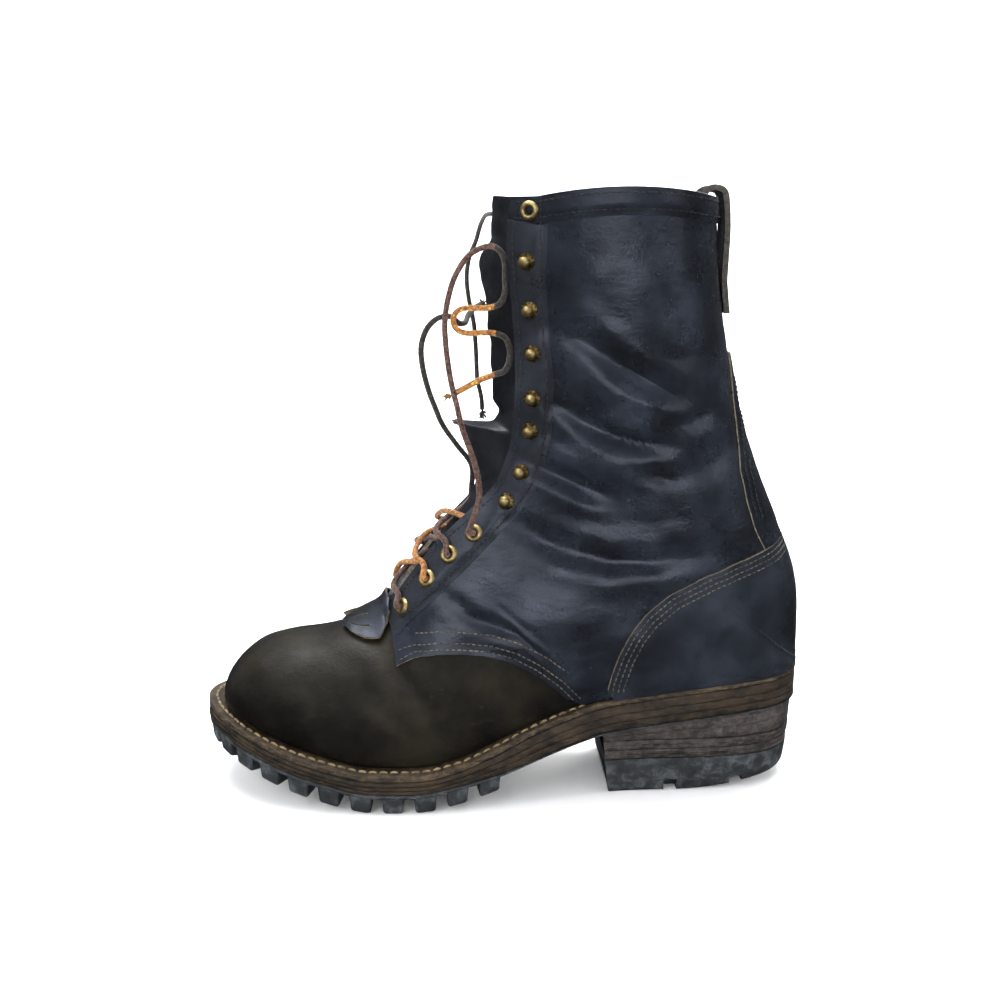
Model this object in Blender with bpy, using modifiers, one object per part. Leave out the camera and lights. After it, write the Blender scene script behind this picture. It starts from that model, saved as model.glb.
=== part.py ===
"""Logger boot, left shoe. Toe towards -X, lateral side towards -Y, floor at Z = 0.

Sizes are in millimetres and meshes are made in metres. The upper comes from one function of fanned
sections: each section runs from the front line (toe ridge, then throat edge) to the back line (feather
edge, then back of the shaft), so the planes turn from upright at the toe to level at the collar.
"""
import math

import bmesh
import bpy
from mathutils import Matrix, Vector

MM = 0.001

# Driving sizes
LENGTH = 318.0
BALL_WIDTH = 111.5
COLLAR_HEIGHT = 304.0
INSTEP_HEIGHT = 104.5
TOE_SPRING = 23.0
HEEL_RISE = 39.5
SEAM = 0.3
PLY_GAP = 0.5

# Sole sizes
WELT = 3.5
WELT_RING = 18.0
MIDSOLE = 5.5
SHANK_LEATHER = 11.0
RUBBER = 5.0
RUBBER_DRAFT = 0.5
HEEL_SEAT_RUBBER = 3.5
LUG_HEIGHT = 7.0
LUG_WIDTH = 15.5
LUG_PITCH = 20.0
LUG_DEPTH = 15.0
LUG_LEAN = 1.3
LUG_ROOT = 1.0
LUG_INSET = 0.4
LUG_NARROWING = 0.12
LUG_END = 0.515
SIDE_LUGS = 9
CENTRE_LUG = 10.5
CENTRE_ROWS = 6
CENTRE_START = 0.105
CENTRE_STEP = 0.066
CENTRE_GAP = 6.0
CENTRE_SPLIT = 2.2
STACK = WELT + MIDSOLE + RUBBER + LUG_HEIGHT
SHANK_RANGE = (0.40, 0.56)
MARGIN_RANGE = (0.45, 0.73)
FOREFOOT_MARGIN = 9.5
HEEL_MARGIN = 3.0

# Heel sizes
TOP_LIFT = 19.0
LIFT = 5.2
HEEL_BREAST = 0.655
HEEL_TAPER = 5.0
BREAST_SLOPE = 5.0
NOTCH_WIDTH = 7.0
NOTCH_HEIGHT = 6.5
NOTCH_REACH = 13.0
NOTCH_SHARES = (0.775, 0.885)
POCKET_SHARE = 0.83
POCKET_LENGTH = 26.0
POCKET_WIDTH = 20.0
TREAD_BEVEL = 2.0
BREAST_HOLLOW = 1.5
HEEL_LIFTS = 3

# Upper sizes
WALL = 2.0
QUARTER_STEP = 1.0
OVERLAY = 1.6
INSOLE = 4.0
TONGUE = 1.8
KILTIE = 1.6
TONGUE_WINGS = 2
TONGUE_ARCH = 5
TONGUE_GAP = 1.0
INSOLE_GAP = 3.4
FRONT_STEPS = 5
BACK_STEPS = 4
STEPS = FRONT_STEPS + BACK_STEPS
CLOSED_ROW = 9
HEEL_ROW = 16
BACK_SHIFT = 2.0
FEATHER_GAP = 0.8
EXTRA_SECTIONS = (11.5, 12.5, 13.5)
HALVINGS = 40

# Hardware sizes
EDGE_INSET = 10.5
EYELET_RADIUS = 4.9
EYELET_BORE = 2.2
EYELET_TUBE = 2.9
EYELET_ROLL = 0.8
EYELET_RIM = 1.3
HOOK_BASE = 4.5
HOOK_NECK = 1.7
HOOK_HEAD = 3.1
HOOK_HEIGHT = 5.2
HOOK_CROWN = 0.8
HOOK_DOME = 0.9
HOOK_RIM = 1.3
HOOK_THROAT = 0.6
HOOK_FLANGE = 1.2
HARDWARE_SEAT = 0.9
EYELET_SIDES = 8
HOOK_SIDES = 6
HOLE_CLEARANCE = 0.55
HOLE_SIDES = 8
HOLE_DEPTH = 16.0

# Lace and loop sizes
LACE = 3.2
LACE_OVER = 1.1
LACE_EDGE_LIFT = 6.2
LACE_CLEAR = 1.95
LACE_LOWEST = 3.7
THIN_LACE = 2.6
LACE_LEAD = (-3.0, 3.5, 6.5)
LACE_SPACING = 10.0
LOOP_WIDTH = 20.0
LOOP_THICKNESS = 1.8
LOOP_ROUND = 38.0

# Sole edge seen from above: share of the length, then half widths as shares of the ball width
SOLE_EDGE = [
    # along, lateral, medial
    (0.000, 0.090, 0.090),
    (0.016, -0.085, 0.255),
    (0.055, -0.245, 0.350),
    (0.105, -0.350, 0.420),
    (0.165, -0.422, 0.465),
    (0.240, -0.475, 0.493),
    (0.320, -0.500, 0.500),
    (0.400, -0.492, 0.462),
    (0.480, -0.450, 0.395),
    (0.560, -0.398, 0.325),
    (0.640, -0.357, 0.292),
    (0.720, -0.333, 0.305),
    (0.800, -0.328, 0.335),
    (0.880, -0.312, 0.333),
    (0.940, -0.262, 0.288),
    (0.982, -0.152, 0.185),
    (1.000, 0.018, 0.018),
]

# Height of the welt's top over the forefoot stack, as shares of the toe spring and the heel rise
SEAT_LINE = [
    # along, toe share, heel share
    (0.000, 1.00, 0.00),
    (0.045, 0.87, 0.00),
    (0.090, 0.67, 0.00),
    (0.125, 0.50, 0.00),
    (0.180, 0.28, 0.00),
    (0.235, 0.11, 0.00),
    (0.285, 0.00, 0.00),
    (0.360, 0.00, 0.00),
    (0.420, 0.00, 0.08),
    (0.485, 0.00, 0.27),
    (0.550, 0.00, 0.50),
    (0.610, 0.00, 0.67),
    (0.665, 0.00, 0.79),
    (0.740, 0.00, 0.87),
    (0.820, 0.00, 0.95),
    (0.910, 0.00, 1.02),
    (1.000, 0.00, 1.05),
]

# Sections of the upper. Places are shares of the length, front rise is a share of the instep height up
# to 1 and of the way from there to the collar above 1, back rise is a share of the way from the heel
# seat to the collar, and widths and the throat's half gap are shares of the ball width.
SECTIONS = [
    # front, front rise, back, back rise, lateral, medial, widest, front fullness, back fullness, gap, sharp
    (0.030, 0.430, 0.030, 0.00, 0.090, 0.090, 0.90, 2.0, 2.0, 0.000, 0.0),
    (0.031, 0.478, 0.038, 0.00, -0.060, 0.230, 0.90, 2.0, 2.0, 0.000, 0.0),
    (0.042, 0.552, 0.058, 0.00, -0.175, 0.305, 0.88, 2.1, 2.0, 0.000, 0.0),
    (0.063, 0.628, 0.085, 0.00, -0.255, 0.360, 0.85, 2.3, 2.0, 0.000, 0.0),
    (0.096, 0.700, 0.120, 0.00, -0.312, 0.390, 0.80, 2.4, 2.0, 0.000, 0.0),
    (0.142, 0.742, 0.163, 0.00, -0.358, 0.410, 0.77, 2.4, 2.0, 0.000, 0.0),
    (0.195, 0.778, 0.212, 0.00, -0.398, 0.423, 0.76, 2.3, 2.0, 0.000, 0.1),
    (0.245, 0.825, 0.260, 0.00, -0.428, 0.435, 0.75, 2.1, 2.0, 0.000, 0.2),
    (0.283, 0.868, 0.305, 0.00, -0.442, 0.438, 0.75, 2.0, 2.0, 0.000, 0.4),
    (0.312, 0.920, 0.355, 0.00, -0.445, 0.428, 0.75, 2.0, 2.0, 0.000, 0.6),
    (0.350, 1.035, 0.425, 0.00, -0.435, 0.402, 0.73, 2.0, 2.0, 0.125, 1.0),
    (0.400, 1.137, 0.520, 0.00, -0.405, 0.358, 0.69, 2.0, 2.0, 0.145, 1.0),
    (0.452, 1.222, 0.640, 0.00, -0.372, 0.330, 0.64, 2.0, 2.0, 0.160, 1.0),
    (0.493, 1.296, 0.780, 0.00, -0.352, 0.335, 0.60, 2.0, 2.2, 0.175, 1.0),
    (0.514, 1.385, 0.900, 0.00, -0.340, 0.338, 0.57, 2.0, 2.3, 0.195, 1.0),
    (0.520, 1.435, 0.965, 0.00, -0.335, 0.337, 0.55, 2.0, 2.1, 0.205, 1.0),
    (0.522, 1.470, 0.988, 0.00, -0.333, 0.337, 0.53, 2.0, 2.1, 0.212, 1.0),
    (0.523, 1.510, 0.990, 0.07, -0.333, 0.337, 0.52, 2.0, 2.4, 0.220, 1.0),
    (0.524, 1.565, 0.982, 0.19, -0.333, 0.338, 0.50, 2.0, 2.4, 0.228, 1.0),
    (0.523, 1.620, 0.950, 0.31, -0.338, 0.341, 0.48, 2.0, 2.4, 0.236, 1.0),
    (0.521, 1.690, 0.914, 0.44, -0.354, 0.354, 0.47, 2.0, 2.3, 0.245, 1.0),
    (0.517, 1.770, 0.882, 0.57, -0.376, 0.376, 0.47, 2.0, 2.2, 0.255, 1.0),
    (0.513, 1.850, 0.859, 0.70, -0.399, 0.399, 0.47, 2.0, 2.2, 0.265, 1.0),
    (0.512, 1.930, 0.845, 0.84, -0.414, 0.414, 0.47, 2.0, 2.2, 0.275, 1.0),
    (0.518, 2.000, 0.834, 1.00, -0.423, 0.423, 0.47, 2.0, 2.2, 0.285, 1.0),
]

# Side-view outlines of what lies on the upper: shares of the length and of the collar height
QUARTER_EDGE = [
    # along, up
    (0.305, 0.390),
    (0.309, 0.345),
    (0.316, 0.285),
    (0.329, 0.238),
    (0.365, 0.255),
    (0.399, 0.262),
    (0.434, 0.264),
    (0.475, 0.262),
    (0.513, 0.250),
    (0.550, 0.228),
    (0.588, 0.196),
    (0.622, 0.155),
]
COUNTER_TOP = [
    # along, up
    (0.660, 0.120),
    (0.667, 0.204),
    (0.682, 0.253),
    (0.701, 0.293),
    (0.726, 0.326),
    (0.764, 0.358),
    (0.802, 0.378),
    (0.862, 0.405),
    (0.918, 0.424),
    (0.953, 0.437),
    (1.060, 0.460),
]
BACKSTAY_EDGE = [
    # along, up
    (0.838, 0.960),
    (0.849, 0.862),
    (0.857, 0.793),
    (0.862, 0.707),
    (0.869, 0.635),
    (0.874, 0.559),
    (0.884, 0.510),
    (0.898, 0.462),
    (0.918, 0.424),
]
EYESTAY_REAR = [
    # along, up
    (0.569, 0.960),
    (0.569, 0.875),
    (0.572, 0.800),
    (0.581, 0.714),
    (0.578, 0.618),
    (0.557, 0.536),
    (0.525, 0.485),
    (0.447, 0.400),
    (0.352, 0.305),
    (0.334, 0.272),
]
EYESTAY_FRONT = [
    # along, up
    (0.322, 0.278),
    (0.314, 0.320),
    (0.316, 0.450),
    (0.400, 0.700),
    (0.460, 0.960),
]
BAND_LINE = 0.958
COUNTER_ROWS = (10, 20)
COUNTER_STEP = 3
BACKSTAY_ROW = 17

# How far the tongue stands forward of the throat's edges, in millimetres, by section
TONGUE_BULGE = [
    # section, bulge
    (9.90, -2.0),
    (11.00, 0.5),
    (12.00, 3.0),
    (12.60, 7.0),
    (13.10, 14.0),
    (13.60, 20.0),
    (14.10, 27.0),
    (14.52, 32.0),
    (14.80, 14.0),
    (15.10, 9.5),
    (15.90, 8.0),
    (16.80, 11.0),
    (19.80, 12.5),
    (20.90, 13.0),
    (21.70, 15.0),
    (22.20, 13.0),
    (22.70, 7.5),
    (24.00, 9.0),
]

# The kiltie lies over the end of the vamp: section, half width and lift in millimetres
KILTIE_ROWS = [
    # section, half width, lift
    (6.85, 10.0, 1.6),
    (7.15, 17.0, 2.2),
    (7.55, 22.0, 2.6),
    (8.00, 25.0, 3.0),
    (8.45, 26.0, 3.3),
    (8.75, 23.0, 3.6),
    (9.05, 15.0, 4.2),
    (9.25, 9.0, 5.0),
]
KILTIE_STRIPS = 6
KILTIE_CUT_ROWS = 3
KILTIE_SLOT = 0.14
KILTIE_CURL = 0.8
KILTIE_WAVE = (2.4, 0.6)
KILTIE_DROOP = 0.5
KILTIE_ROUND = 30.0

# Sections where the hardware sits, from the vamp up
EYELET_SECTIONS = [9.72, 10.50, 11.15, 11.82, 23.52]
HOOK_SECTIONS = [12.90, 13.72, 16.00, 17.72, 19.55, 20.85, 22.20]

# Pull loop from inside the collar over the top and down the back: height over the collar and the
# distance of the strap's middle from the back line, in millimetres
LOOP_PATH = [
    # over the collar, stand-off
    (-24.0, -5.0),
    (-2.0, -4.9),
    (2.8, -4.0),
    (5.2, -0.6),
    (5.2, 3.4),
    (3.6, 6.6),
    (-1.0, 8.0),
    (-15.0, 7.7),
    (-28.0, 6.2),
    (-40.0, 4.6),
    (-46.0, 4.4),
    (-57.0, 4.3),
]

# Free lace routes after they leave their eyelets, chosen by hand from the photo, in millimetres
LATERAL_TAIL = [
    # x, y, z
    (-13.5, -35.5, 152.0), (-11.5, -36.0, 160.0), (-12.5, -34.0, 171.0), (-15.5, -30.0, 181.0),
    (-19.5, -27.0, 192.0), (-22.0, -25.0, 203.0), (-25.0, -24.0, 216.0), (-27.0, -24.0, 231.0),
    (-27.5, -24.0, 245.0), (-25.4, -24.0, 257.5), (-21.6, -24.0, 268.0), (-15.0, -24.1, 277.0),
    (-6.0, -24.8, 281.0), (-0.4, -25.7, 278.7), (2.0, -26.2, 273.0), (2.0, -26.2, 266.2),
    (2.0, -26.0, 259.4), (-0.4, -25.4, 253.7), (-6.0, -24.0, 251.4), (-12.0, -22.4, 251.3),
    (-17.5, -21.3, 251.2), (-21.7, -21.0, 249.4), (-23.5, -21.2, 245.2), (-21.7, -21.8, 241.0),
    (-17.5, -22.7, 239.2), (-10.5, -24.2, 239.3), (-3.6, -25.2, 239.2), (1.9, -25.2, 236.9),
    (4.2, -24.9, 231.4), (4.2, -24.7, 227.0), (1.9, -24.4, 220.9), (-3.6, -23.6, 218.6),
    (-10.5, -22.4, 216.0), (-18.0, -21.6, 212.0), (-24.5, -21.0, 208.5),
]
MEDIAL_TAIL = [
    # x, y, z
    (-15.0, 33.5, 151.0), (-15.0, 30.0, 164.0), (-23.0, 26.0, 176.0), (-30.0, 22.0, 187.0),
    (-34.0, 14.0, 198.0), (-37.0, 6.0, 208.0), (-39.5, 0.0, 220.0), (-40.0, -4.0, 231.0),
    (-37.0, -7.0, 240.0), (-31.5, -9.0, 245.5), (-25.0, -10.0, 246.5), (-20.5, -8.0, 243.0),
    (-17.5, -2.0, 243.0), (-16.0, 6.0, 246.0), (-13.0, 14.0, 249.0), (-9.0, 21.0, 251.0),
]
MEDIAL_STRAND = [
    # x, y, z
    (5.5, 48.0, 297.2), (0.0, 46.5, 297.4), (-4.0, 41.5, 297.4), (-6.5, 34.5, 296.2),
    (-9.0, 28.0, 291.5), (-11.5, 24.0, 283.5), (-15.0, 21.0, 275.0), (-16.5, 19.0, 265.0),
    (-15.5, 18.0, 254.0), (-13.0, 17.5, 241.0), (-12.0, 17.0, 226.0), (-11.5, 16.5, 213.0),
    (-9.5, 16.0, 203.0), (-9.0, 16.0, 196.0),
]

COLOURS = {
    # red, green, blue, roughness, metallic
    "shaft_leather": (0.017, 0.020, 0.026, 0.42, 0.0),
    "worn_leather": (0.030, 0.027, 0.022, 0.55, 0.0),
    "tongue_leather": (0.014, 0.015, 0.018, 0.50, 0.0),
    "sole_leather": (0.085, 0.052, 0.030, 0.75, 0.0),
    "insole_leather": (0.200, 0.130, 0.080, 0.80, 0.0),
    "rubber": (0.020, 0.021, 0.023, 0.85, 0.0),
    "brass": (0.720, 0.480, 0.160, 0.28, 1.0),
    "lace": (0.170, 0.085, 0.045, 0.85, 0.0),
}


def clear_scene():
    """Remove the objects that the scene starts with."""
    for obj in list(bpy.data.objects):
        bpy.data.objects.remove(obj, do_unlink=True)


def make_materials():
    """One material for each finish."""
    made = {}
    for name, (red, green, blue, roughness, metallic) in COLOURS.items():
        material = bpy.data.materials.new(name)
        material.use_nodes = True
        shader = material.node_tree.nodes["Principled BSDF"]
        shader.inputs["Base Color"].default_value = (red, green, blue, 1.0)
        shader.inputs["Roughness"].default_value = roughness
        shader.inputs["Metallic"].default_value = metallic
        made[name] = material
    return made


def make_collection(name):
    """A collection linked to the scene."""
    collection = bpy.data.collections.new(name)
    bpy.context.scene.collection.children.link(collection)
    return collection


def add_object(name, data, material, collection):
    """Link an object that carries one material."""
    obj = bpy.data.objects.new(name, data)
    if material is not None:
        data.materials.append(material)
    collection.objects.link(obj)
    return obj


def move_to(obj, collection):
    """Move an object to one collection."""
    for holder in list(obj.users_collection):
        holder.objects.unlink(obj)
    collection.objects.link(obj)


def mesh_object(name, points, faces, material, collection):
    """A mesh object from points in millimetres."""
    mesh = bpy.data.meshes.new(name)
    mesh.from_pydata([tuple(value * MM for value in point) for point in points], [], faces)
    mesh.update()
    return add_object(name, mesh, material, collection)


def join_meshes(name, pieces, material, collection):
    """One object from several closed meshes, each given as points and faces."""
    points, faces = [], []
    for piece_points, piece_faces in pieces:
        start = len(points)
        points += piece_points
        faces += [tuple(start + index for index in face) for face in piece_faces]
    return mesh_object(name, points, faces, material, collection)


def boolean(obj, cutter, operation):
    """Add a Boolean modifier and keep the cutter out of the render."""
    cutter.hide_render = True
    cutter.hide_viewport = False
    modifier = obj.modifiers.new(operation.lower() + "_" + cutter.name, "BOOLEAN")
    modifier.operation = operation
    modifier.solver = "EXACT"
    modifier.object = cutter
    return modifier


def spline_value(before, start, end, after, share):
    """Catmull-Rom value between start and end."""
    slope_in = (end - before) / 2
    slope_out = (after - start) / 2
    square = share * share
    cube = square * share
    return (
        (2 * cube - 3 * square + 1) * start
        + (cube - 2 * square + share) * slope_in
        + (3 * square - 2 * cube) * end
        + (cube - square) * slope_out
    )


def steady_curve(table, at):
    """Smooth value of each later column at a value of the first, with no overshoot between rows."""
    last = len(table) - 1
    at = min(max(at, table[0][0]), table[last][0])
    index = max(i for i in range(last) if table[i][0] <= at)
    width = table[index + 1][0] - table[index][0]
    share = (at - table[index][0]) / width
    values = []
    for column in range(1, len(table[0])):
        slopes = [
            (table[i + 1][column] - table[i][column]) / (table[i + 1][0] - table[i][0])
            for i in range(last)
        ]
        ends = []
        for row in (index, index + 1):
            left = slopes[max(row - 1, 0)]
            right = slopes[min(row, last - 1)]
            ends.append(2 * left * right / (left + right) if left * right > 0 else 0.0)
        start = table[index][column]
        end = table[index + 1][column]
        values.append(
            spline_value(end - 2 * width * ends[0], start, end, start + 2 * width * ends[1], share)
        )
    return values


def length_place(share):
    """X of a share of the length, counted from the toe."""
    return (share - 0.5) * LENGTH


def length_share(x):
    """Share of the length at X, counted from the toe."""
    return x / LENGTH + 0.5


def soft_step(value, start, end):
    """0 before start and 1 after end, with a soft change between."""
    share = min(max((value - start) / (end - start), 0.0), 1.0)
    return share * share * (3 - 2 * share)


def rearward(x):
    """0 at the forefoot and 1 from the shank back, with a soft change between."""
    return soft_step(length_share(x), *SHANK_RANGE)


def seat_height(x):
    """Height of the welt's top."""
    toe, heel = steady_curve(SEAT_LINE, length_share(x))
    return STACK + toe * TOE_SPRING + heel * HEEL_RISE


def midsole_top(x):
    """Height of the midsole's top."""
    return seat_height(x) - WELT


def rubber_top(x):
    """Height of the rubber's top, under the leather that thickens behind the ball."""
    return midsole_top(x) - MIDSOLE - (SHANK_LEATHER - MIDSOLE) * rearward(x)


def rubber_bottom(x):
    """Height of the rubber's underside between the lugs."""
    return rubber_top(x) - RUBBER - (HEEL_SEAT_RUBBER - RUBBER) * rearward(x)


def sole_loop(steps):
    """Sole edge as a closed loop: toe, lateral side, heel, medial side, with steps points a row."""
    corners = [(length_place(row[0]), row[1] * BALL_WIDTH) for row in SOLE_EDGE]
    corners += [(length_place(row[0]), row[2] * BALL_WIDTH) for row in reversed(SOLE_EDGE[1:-1])]
    count = len(corners)
    loop = []
    for index in range(count):
        around = [corners[(index + shift) % count] for shift in (-1, 0, 1, 2)]
        for step in range(steps):
            share = step / steps
            loop.append(tuple(spline_value(*[point[axis] for point in around], share) for axis in (0, 1)))
    return loop


def inset_loop(loop, inset):
    """The loop moved inwards by a distance that may change along the length."""
    count = len(loop)
    moved = []
    for index, (x, y) in enumerate(loop):
        before = loop[index - 1]
        after = loop[(index + 1) % count]
        run = math.hypot(after[0] - before[0], after[1] - before[1])
        normal_x = -(after[1] - before[1]) / run
        normal_y = (after[0] - before[0]) / run
        distance = inset(x) if callable(inset) else inset
        moved.append((x + normal_x * distance, y + normal_y * distance))
    return moved


def feather_margin(x):
    """Width of the welt outside the upper."""
    return FOREFOOT_MARGIN + (HEEL_MARGIN - FOREFOOT_MARGIN) * soft_step(length_share(x), *MARGIN_RANGE)


def cap_strip(start, count, upwards):
    """Faces across a loop from one side to the other."""
    half = count // 2
    faces = [(start, start + 1, start + count - 1)]
    for index in range(1, half - 1):
        faces.append((start + index, start + index + 1, start + count - index - 1, start + count - index))
    faces.append((start + half - 1, start + half, start + half + 1))
    return faces if upwards else [tuple(reversed(face)) for face in faces]


def loft_rings(rings, caps=True):
    """Points and faces through rings of one point count, listed from the top down."""
    count = len(rings[0])
    points = [point for ring in rings for point in ring]
    faces = []
    for level in range(len(rings) - 1 if caps else len(rings)):
        upper = level * count
        lower = ((level + 1) % len(rings)) * count
        for index in range(count):
            following = (index + 1) % count
            faces.append((upper + index, lower + index, lower + following, upper + following))
    if caps:
        faces += cap_strip(0, count, True)
        faces += cap_strip((len(rings) - 1) * count, count, False)
    return points, faces


def ring_at(loop, height):
    """A loop lifted to a height that may change along the length."""
    return [(x, y, height(x) if callable(height) else height) for x, y in loop]


def front_height(rise):
    """Height of the front line for a front rise."""
    if rise <= 1:
        return rise * INSTEP_HEIGHT
    return INSTEP_HEIGHT + (rise - 1) * (COLLAR_HEIGHT - INSTEP_HEIGHT)


def section_values(row):
    """The section table's columns at a whole or part row."""
    index = min(int(row), len(SECTIONS) - 2)
    rows = [SECTIONS[min(max(index + shift, 0), len(SECTIONS) - 1)] for shift in (-1, 0, 1, 2)]
    return [spline_value(*[line[column] for line in rows], row - index) for column in range(len(rows[0]))]


class Upper:
    """The upper's function and the grid of points that every piece on it shares."""

    def __init__(self):
        self.loop = inset_loop(sole_loop(6), feather_margin)
        self.feather = {-1: self.loop[: len(self.loop) // 2 + 1], 1: [self.loop[0]]}
        self.feather[1] += list(reversed(self.loop[len(self.loop) // 2:]))
        self.sections = sorted(list(range(len(SECTIONS))) + list(EXTRA_SECTIONS))
        self.last = len(SECTIONS) - 1
        self.grid = [
            {side: self.section_points(section, side) for side in (-1, 1)} for section in self.sections
        ]
        self.normals = [
            {side: [self.grid_normal(row, side, step) for step in range(STEPS + 1)] for side in (-1, 1)}
            for row in range(len(self.sections))
        ]

    def locate(self, section):
        """Grid row at or below a section, and the share of the way to the next."""
        row = max(i for i in range(len(self.sections) - 1) if self.sections[i] <= section)
        return row, (section - self.sections[row]) / (self.sections[row + 1] - self.sections[row])

    def feather_side(self, x, side):
        """Y of the feather edge at X."""
        chain = self.feather[side]
        for (x0, y0), (x1, y1) in zip(chain, chain[1:]):
            if x0 <= x <= x1:
                return y0 + (y1 - y0) * (x - x0) / max(x1 - x0, 1e-9)
        return chain[0][1] if x < chain[0][0] else chain[-1][1]

    def ends(self, row):
        """Front and back point of a section in the side view."""
        front, rise, back, back_rise = section_values(row)[:4]
        front_x = length_place(front)
        back_x = length_place(back)
        seat = seat_height(back_x) + FEATHER_GAP
        back_z = seat + back_rise * (COLLAR_HEIGHT - seat)
        front_z = max(front_height(rise), seat_height(front_x) + FEATHER_GAP)
        if row == 0:
            front_z = back_z
        return (front_x, front_z), (back_x, back_z)

    def section_points(self, row, side):
        """Points of one half section from the front line to the back line."""
        (front_x, front_z), (back_x, back_z) = self.ends(row)
        lateral, medial, widest, front_full, back_full, gap, sharp = section_values(row)[4:]
        toe_y = SOLE_EDGE[0][1] * BALL_WIDTH * max(1 - row / CLOSED_ROW, 0)
        start_y = toe_y + side * max(gap, 0.0) * BALL_WIDTH
        wide_y = (lateral if side < 0 else medial) * BALL_WIDTH
        if row < HEEL_ROW:
            end_y = self.feather_side(back_x, side)
        else:
            end_y = BACK_SHIFT * (self.last - row) / (self.last - HEEL_ROW)
        if row == 0:
            start_y = wide_y = end_y = self.loop[0][1]
        points = []
        for step in range(STEPS + 1):
            if step <= FRONT_STEPS:
                turn = step / FRONT_STEPS
                across = math.sin(turn * math.pi / 2) ** (2 / front_full)
                round_down = 1 - math.cos(turn * math.pi / 2) ** (2 / front_full)
                down = widest * ((1 - sharp) * round_down + sharp * turn)
                y = start_y + (wide_y - start_y) * across
            else:
                turn = (step - FRONT_STEPS) / BACK_STEPS
                across = max(math.cos(turn * math.pi / 2), 0.0) ** (2 / back_full)
                down = widest + (1 - widest) * math.sin(turn * math.pi / 2) ** (2 / back_full)
                y = end_y + (wide_y - end_y) * across
            point = (front_x + (back_x - front_x) * down, y, front_z + (back_z - front_z) * down)
            points.append(Vector(point))
        return points

    def grid_normal(self, row, side, step):
        """Outward direction at a grid point, level on the feather edge and at the collar."""
        if row == 0:
            return Vector((-1, 0, 0))
        rows = self.grid
        section = self.sections[row]
        above = rows[max(row - 1, 0)][side][step]
        below = rows[min(row + 1, len(rows) - 1)][side][step]
        closed_front = step == 0 and section <= CLOSED_ROW
        closed_back = step == STEPS and section >= HEEL_ROW
        before = rows[row][-side][1] if closed_front else rows[row][side][max(step - 1, 0)]
        after = rows[row][-side][STEPS - 1] if closed_back else rows[row][side][min(step + 1, STEPS)]
        normal = (after - before).cross(below - above) * -side
        if (step == STEPS and section <= HEEL_ROW) or section == self.last:
            normal.z = 0
        if closed_front or closed_back:
            normal.y = 0
        return normal.normalized()

    def lifted(self, row, side, step, lift):
        """Grid point moved outwards."""
        return self.grid[row][side][step] + self.normals[row][side][step] * lift

    def shared(self, row, side, step):
        """Name of a grid point, the same for points that both sides share."""
        section = self.sections[row]
        if row == 0:
            return (0, 0, 0)
        if (step == 0 and section <= CLOSED_ROW) or (step == STEPS and section >= HEEL_ROW):
            return (row, 0, step)
        return (row, side, step)

    def place(self, section, side, along, lift=0.0):
        """Point and outward direction on the faceted grid, along millimetres from the front line."""
        low, part = self.locate(section)
        points = [
            self.grid[low][side][step].lerp(self.grid[low + 1][side][step], part)
            for step in range(STEPS + 1)
        ]
        normals = [
            self.normals[low][side][step].lerp(self.normals[low + 1][side][step], part)
            for step in range(STEPS + 1)
        ]
        left = along
        for step in range(STEPS):
            run = (points[step + 1] - points[step]).length
            if left <= run or step == STEPS - 1:
                share = left / run
                normal = normals[step].lerp(normals[step + 1], share).normalized()
                return points[step].lerp(points[step + 1], share) + normal * lift, normal
            left -= run
        return points[-1], normals[-1]

    def forward(self, row):
        """Direction in the side view that points out of the throat."""
        (x0, z0), _ = self.ends(max(row - 0.5, CLOSED_ROW - 2))
        (x1, z1), _ = self.ends(min(row + 0.5, self.last))
        return Vector((z0 - z1, 0, x1 - x0)).normalized()


def sheet_solid(name, outer, inner, faces, material, collection):
    """Closed solid from two matching point lists and the outer faces between them."""
    count = len(outer)
    used = {}
    for face in faces:
        for start, end in zip(face, face[1:] + face[:1]):
            used[(start, end)] = True
    rim = [
        (end, start, start + count, end + count)
        for start, end in used
        if (end, start) not in used
    ]
    back = [tuple(index + count for index in reversed(face)) for face in faces]
    return mesh_object(name, list(outer) + list(inner), faces + back + rim, material, collection)


def upper_shell(upper, name, lifts, rows, steps, sides, material, collection, overshoot=0.0):
    """Shell of the upper between two lifts, over a range of sections and steps."""
    inner_lift, outer_lift = lifts
    first = upper.sections.index(rows[0])
    final = upper.sections.index(rows[1])
    index = {}
    outer, inner = [], []

    def corner(row, side, step):
        key = upper.shared(row, side, step)
        if key not in index:
            index[key] = len(outer)
            extra = Vector((0, 0, -overshoot if step == STEPS or row == 0 else 0))
            outer.append(upper.lifted(row, side, step, outer_lift) + extra)
            inner.append(upper.lifted(row, side, step, inner_lift) + extra)
        return index[key]

    faces = []
    for row in range(first, final):
        for step in range(steps[0], steps[1]):
            for side in sides:
                near = corner(row, side, step)
                far = corner(row + 1, side, step + 1)
                for third in ((row, side, step + 1), (row + 1, side, step)):
                    other = corner(*third)
                    face = (near, other, far) if (third[0] == row) == (side < 0) else (far, other, near)
                    if len(set(face)) == 3:
                        faces.append(face)
    return sheet_solid(name, outer, inner, faces, material, collection)


def side_prism(name, outline, collection, reach=120.0):
    """Cutter with a side-view outline given as shares, right through the boot."""
    points = [(length_place(along), -reach, up * COLLAR_HEIGHT) for along, up in outline]
    count = len(points)
    area = sum(
        points[i - 1][0] * points[i][2] - points[i][0] * points[i - 1][2] for i in range(count)
    )
    if area < 0:
        points.reverse()
    points += [(x, reach, z) for x, _, z in points]
    faces = [tuple(range(count)), tuple(reversed(range(count, 2 * count)))]
    for index in range(count):
        following = (index + 1) % count
        faces.append((index, index + count, following + count, following))
    return mesh_object(name, points, faces, None, collection)


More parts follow.
